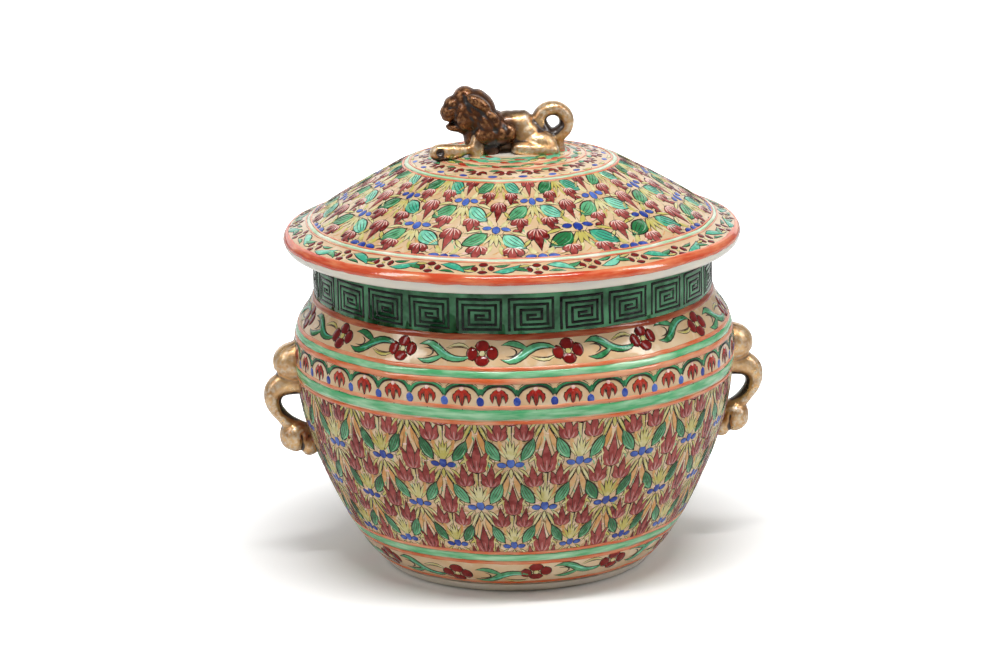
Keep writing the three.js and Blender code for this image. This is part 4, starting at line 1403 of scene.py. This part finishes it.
def lion_body():
    clay = bmesh.new()
    lumps(clay, [
        ((-1.0, 0, 166.6), (6.2, 6.4, 6.2)), ((2.4, 0, 166.5), (5.2, 6.4, 6.3)),
        ((5.2, 0, 166.8), (3.9, 6.0, 6.0)), ((6.2, 0, 162.6), (6.4, 6.6, 5.8)),
        ((1.0, 0, 160.4), (9.0, 5.8, 4.0)),
    ])
    hind_leg = [(15.2, 6.8, 158.2), (10.5, 7.8, 158.4), (5.5, 8.4, 159.0), (1.8, 8.0, 159.6)]
    haunch = [((10.6, 5.0, 160.4), (6.9, 4.4, 4.9), 8), ((6.6, 3.6, 163.6), (5.6, 3.6, 5.0), 20)]
    for side in (-1, 1):
        lumps(clay, haunch, side)
        rolls(clay, [(hind_leg, [(2.7, 2.9), (2.9, 3.0), (2.8, 2.9), (2.4, 2.7)])], side)
    turns_round = [math.radians(angle) for angle in range(0, 361, 20)]
    tail_ring = [(16.2 + 5.4 * math.cos(angle), 0, 167.8 + 5.2 * math.sin(angle)) for angle in turns_round]
    tail_foot = [(18.8, 0, 164.0), (18.4, 0.6, 160.6), (18.6, 1.0, 156.2)]
    tail_root = [(13.8, 0, 162.6), (12.2, 0, 165.2), (11.0, 0, 168.4)]
    right_arm = [(-12.2, -5.2, 163.0), (-12.7, -6.0, 161.4), (-13.1, -6.7, 159.4), (-12.9, -6.7, 157.6)]
    stretched = [(-13.6, -6.0, 160.2), (-17.0, -6.2, 159.6), (-21.8, -7.0, 159.2), (-25.8, -7.5, 159.2)]
    tucked = [(-9.6, 6.0, 163.8), (-11.0, 6.6, 160.6), (-11.6, 6.8, 158.0)]
    rolls(clay, [
        (tail_ring, [(2.8, 3.7)] * len(tail_ring)),
        (tail_foot, [(2.6, 3.6), (2.2, 3.6), (2.5, 4.0)]),
        (tail_root, [(3.6, 4.8), (3.2, 4.3), (2.7, 3.7)]),
        (right_arm, [(3.1, 2.9), (3.0, 2.9), (2.8, 2.9), (2.6, 2.8)]),
        (stretched, [(1.7, 2.4), (1.9, 2.6), (2.9, 3.2), (3.3, 3.5)]),
        (tucked, [(3.3, 3.0), (2.9, 2.9), (2.5, 2.8)]),
    ])
    lumps(clay, [((-27.4, -7.5, 159.1), (3.8, 3.7, 3.3), -6), ((-12.4, 6.8, 157.6), (2.8, 3.0, 2.1))])
    grooves = [([(-27.4, -11.4, 159.7), (-27.0, -10.2, 159.4)], 1.2, 1.7)]
    grooves += [([(-31.6, across, 160.8), (-29.4, across, 162)], 0.6, 0.3) for across in (-8.6, -6.2)]
    grooves += on_both_sides([([(-1.2, y, 159.9), (1.6, y, 161.6)], 0.5, 0.3) for y in (7.2, 8.8)])
    painted_shade_and_highlight = []
    # Painted shade on the inner side of the tail ring, below and above its hole.
    for across in (-2.5, 0, 2.5):
        below = [(13.4, across, 166.4), (15.2, across, 165.0), (17.4, across, 165.0), (18.8, across, 166.6)]
        above = [(13.5, across, 168.8), (14.6, across, 170.2), (17.2, across, 170.5)]
        painted_shade_and_highlight += [(below, 1.9, 0.8), (above, 0.9, 0.45)]
    painted_shade_and_highlight += [
        # Painted shade in the pit of the paw.
        ([(-27.4, -11.4, 159.7), (-26.8, -8.8, 159.3)], 1.6, 1.2),
        # Painted shadow under the stretched paw.
        ([(-25, -10.4, 156.6), (-29.6, -9.2, 157.0)], 1.5, 0.8),
        # Painted shadow where the body and the hind legs meet the lid, on both sides.
        ([(1, 6, 157.6), (9, 7, 156.6), (17, 7, 156.6)], 1.2, 0.6),
        ([(1, -9, 157.2), (9, -9, 156.4), (17, -8, 156.2)], 1.0, 0.5),
    ]
    painted_shade_and_highlight += on_both_sides([
        # Painted shade in the crease between the flank and the tail.
        ([(9.4, 4, 171.6), (9.2, 5, 168), (10.8, 5.5, 165.4)], 1.5, 0.4),
        # Lighter on the rounded flank: a painted highlight, with some wear.
        ([(5.4, 6.4, 170), (6.4, 7.4, 166), (8.6, 8.4, 162)], 1.8, -0.25),
    ])
    stains_and_shade = [([(-1, across, 173.2), (8.2, 0.4 * across, 173.0)], 2.6, 0.85) for across in (-2, 2)]
    # Painted shade under the mane, laid as brown gilding on the top of the upright foreleg.
    stains_and_shade.append(([(-11.4, -8.0, 166), (-12.2, -8.8, 162.6)], 2.6, 0.85))
    stains_and_shade += on_both_sides([([(-2.2, 5, 171.4), (-0.6, 7, 166), (-1.4, 7, 160)], 4.2, 0.95)])
    return modelled("lion_body_and_tail", clay, 0.42, 10, grooves, painted_shade_and_highlight=painted_shade_and_highlight, stains_and_shade=stains_and_shade)


mane = lion_head()
mane.data.materials.append(dark_gilding)
lion = lion_body()
lion.data.materials.append(gilding)

# %% [markdown]
# The piece is photographed on a white table that runs up behind it, between two big soft lights. A
# floor of near white takes the soft shadows, and what only the camera sees is lifted to plain white
# away from the jar. Near the foot the lift is held back, which paints a darker shadow round the base.

# %% Floor and light
def studio():
    reach = 6.0 / mm
    corners = [(-reach, -reach, 0), (reach, -reach, 0), (reach, reach, 0), (-reach, reach, 0)]
    floor = new_object("floor", corners, [(0, 1, 2, 3)])
    material, tree, shader, place = new_material("white table")
    rays = add_node(tree, "ShaderNodeLightPath").outputs["Is Camera Ray"]
    away = add_node(tree, "ShaderNodeVectorMath", {0: place}, operation="LENGTH").outputs["Value"]
    # The camera-only lift grows from the foot outwards, so the floor stays darker near the base: a painted
    # shadow.
    rise = ranged(tree, away, 0.045, 0.2, interpolation_type="SMOOTHSTEP")
    feed(tree, shader, {
        "Base Color": linear("#F2F2F1"), "Roughness": 0.9,
        "Emission Color": (1, 1, 1, 1), "Emission Strength": sum_of(tree, "MULTIPLY", rays, rise),
    })
    floor.data.materials.append(material)
    world = bpy.data.worlds.new("white room")
    bpy.context.scene.world = world
    world.use_nodes = True
    tree = world.node_tree
    tree.nodes.clear()
    path = add_node(tree, "ShaderNodeLightPath").outputs
    plain = ranged(tree, path["Is Glossy Ray"], 0.0, 1.0, 0.11, 0.34)
    strength = sum_of(tree, "MAXIMUM", plain, path["Is Camera Ray"])
    light = add_node(tree, "ShaderNodeBackground", {"Color": (1, 1, 1, 1), "Strength": strength})
    add_node(tree, "ShaderNodeOutputWorld", {"Surface": light.outputs[0]})


def soft_light(name, place, target, size, power):
    data = bpy.data.lights.new(name, "AREA")
    data.shape = "RECTANGLE"
    data.size, data.size_y = size
    data.energy = power
    lamp = bpy.data.objects.new(name, data)
    aim = (Vector(target) - Vector(place)).to_track_quat("-Z", "Y")
    lamp.matrix_world = Matrix.Translation(place) @ aim.to_matrix().to_4x4()
    bpy.context.scene.collection.objects.link(lamp)


studio()
soft_light("right_light", (1.15, -0.4, 0.95), (0, 0, 0.09), (0.25, 0.9), 6.0)
soft_light("left_light", (-1.15, -0.36, 1.0), (0, 0, 0.09), (0.25, 0.9), 5.2)
soft_light("top_light", (0.05, -0.45, 1.35), (0, 0, 0.1), (0.9, 0.09), 14.4)
soft_light("back_light", (0, 1.4, 0.6), (0, 0, 0.09), (2.4, 1.1), 7)

# %% Bodies and nodes
def keep(piece, body, nodes=()):
    """The piece rides on its body and stands for its nodes."""
    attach(piece, body)
    if nodes:
        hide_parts(*nodes)


handle_nodes = ("handle_loop", "handle_upper_leaf", "handle_lower_leaf", "handle_small_leaf")
keep(jar_shell, "jar", ["jar_body"])
keep(foot_shell, "jar", ["foot_ring"])
keep(left_handle, "jar", [f"left_{node}" for node in handle_nodes])
keep(right_handle, "jar", [f"right_{node}" for node in handle_nodes])
keep(lid_shell, "lid", ["lid_dome"])
keep(lid_ring, "lid", ["lid_flange"])
for body, piece in laid_enamels:
    keep(piece, body)
keep(mane, "lid", ["lion_head"])
keep(lion, "lid", [
    "lion_body", "lion_tail", "lion_left_foreleg", "lion_right_foreleg",
    "lion_left_hind_leg", "lion_right_hind_leg",
])

# %% View transform
bpy.context.scene.view_settings.view_transform = "Standard"
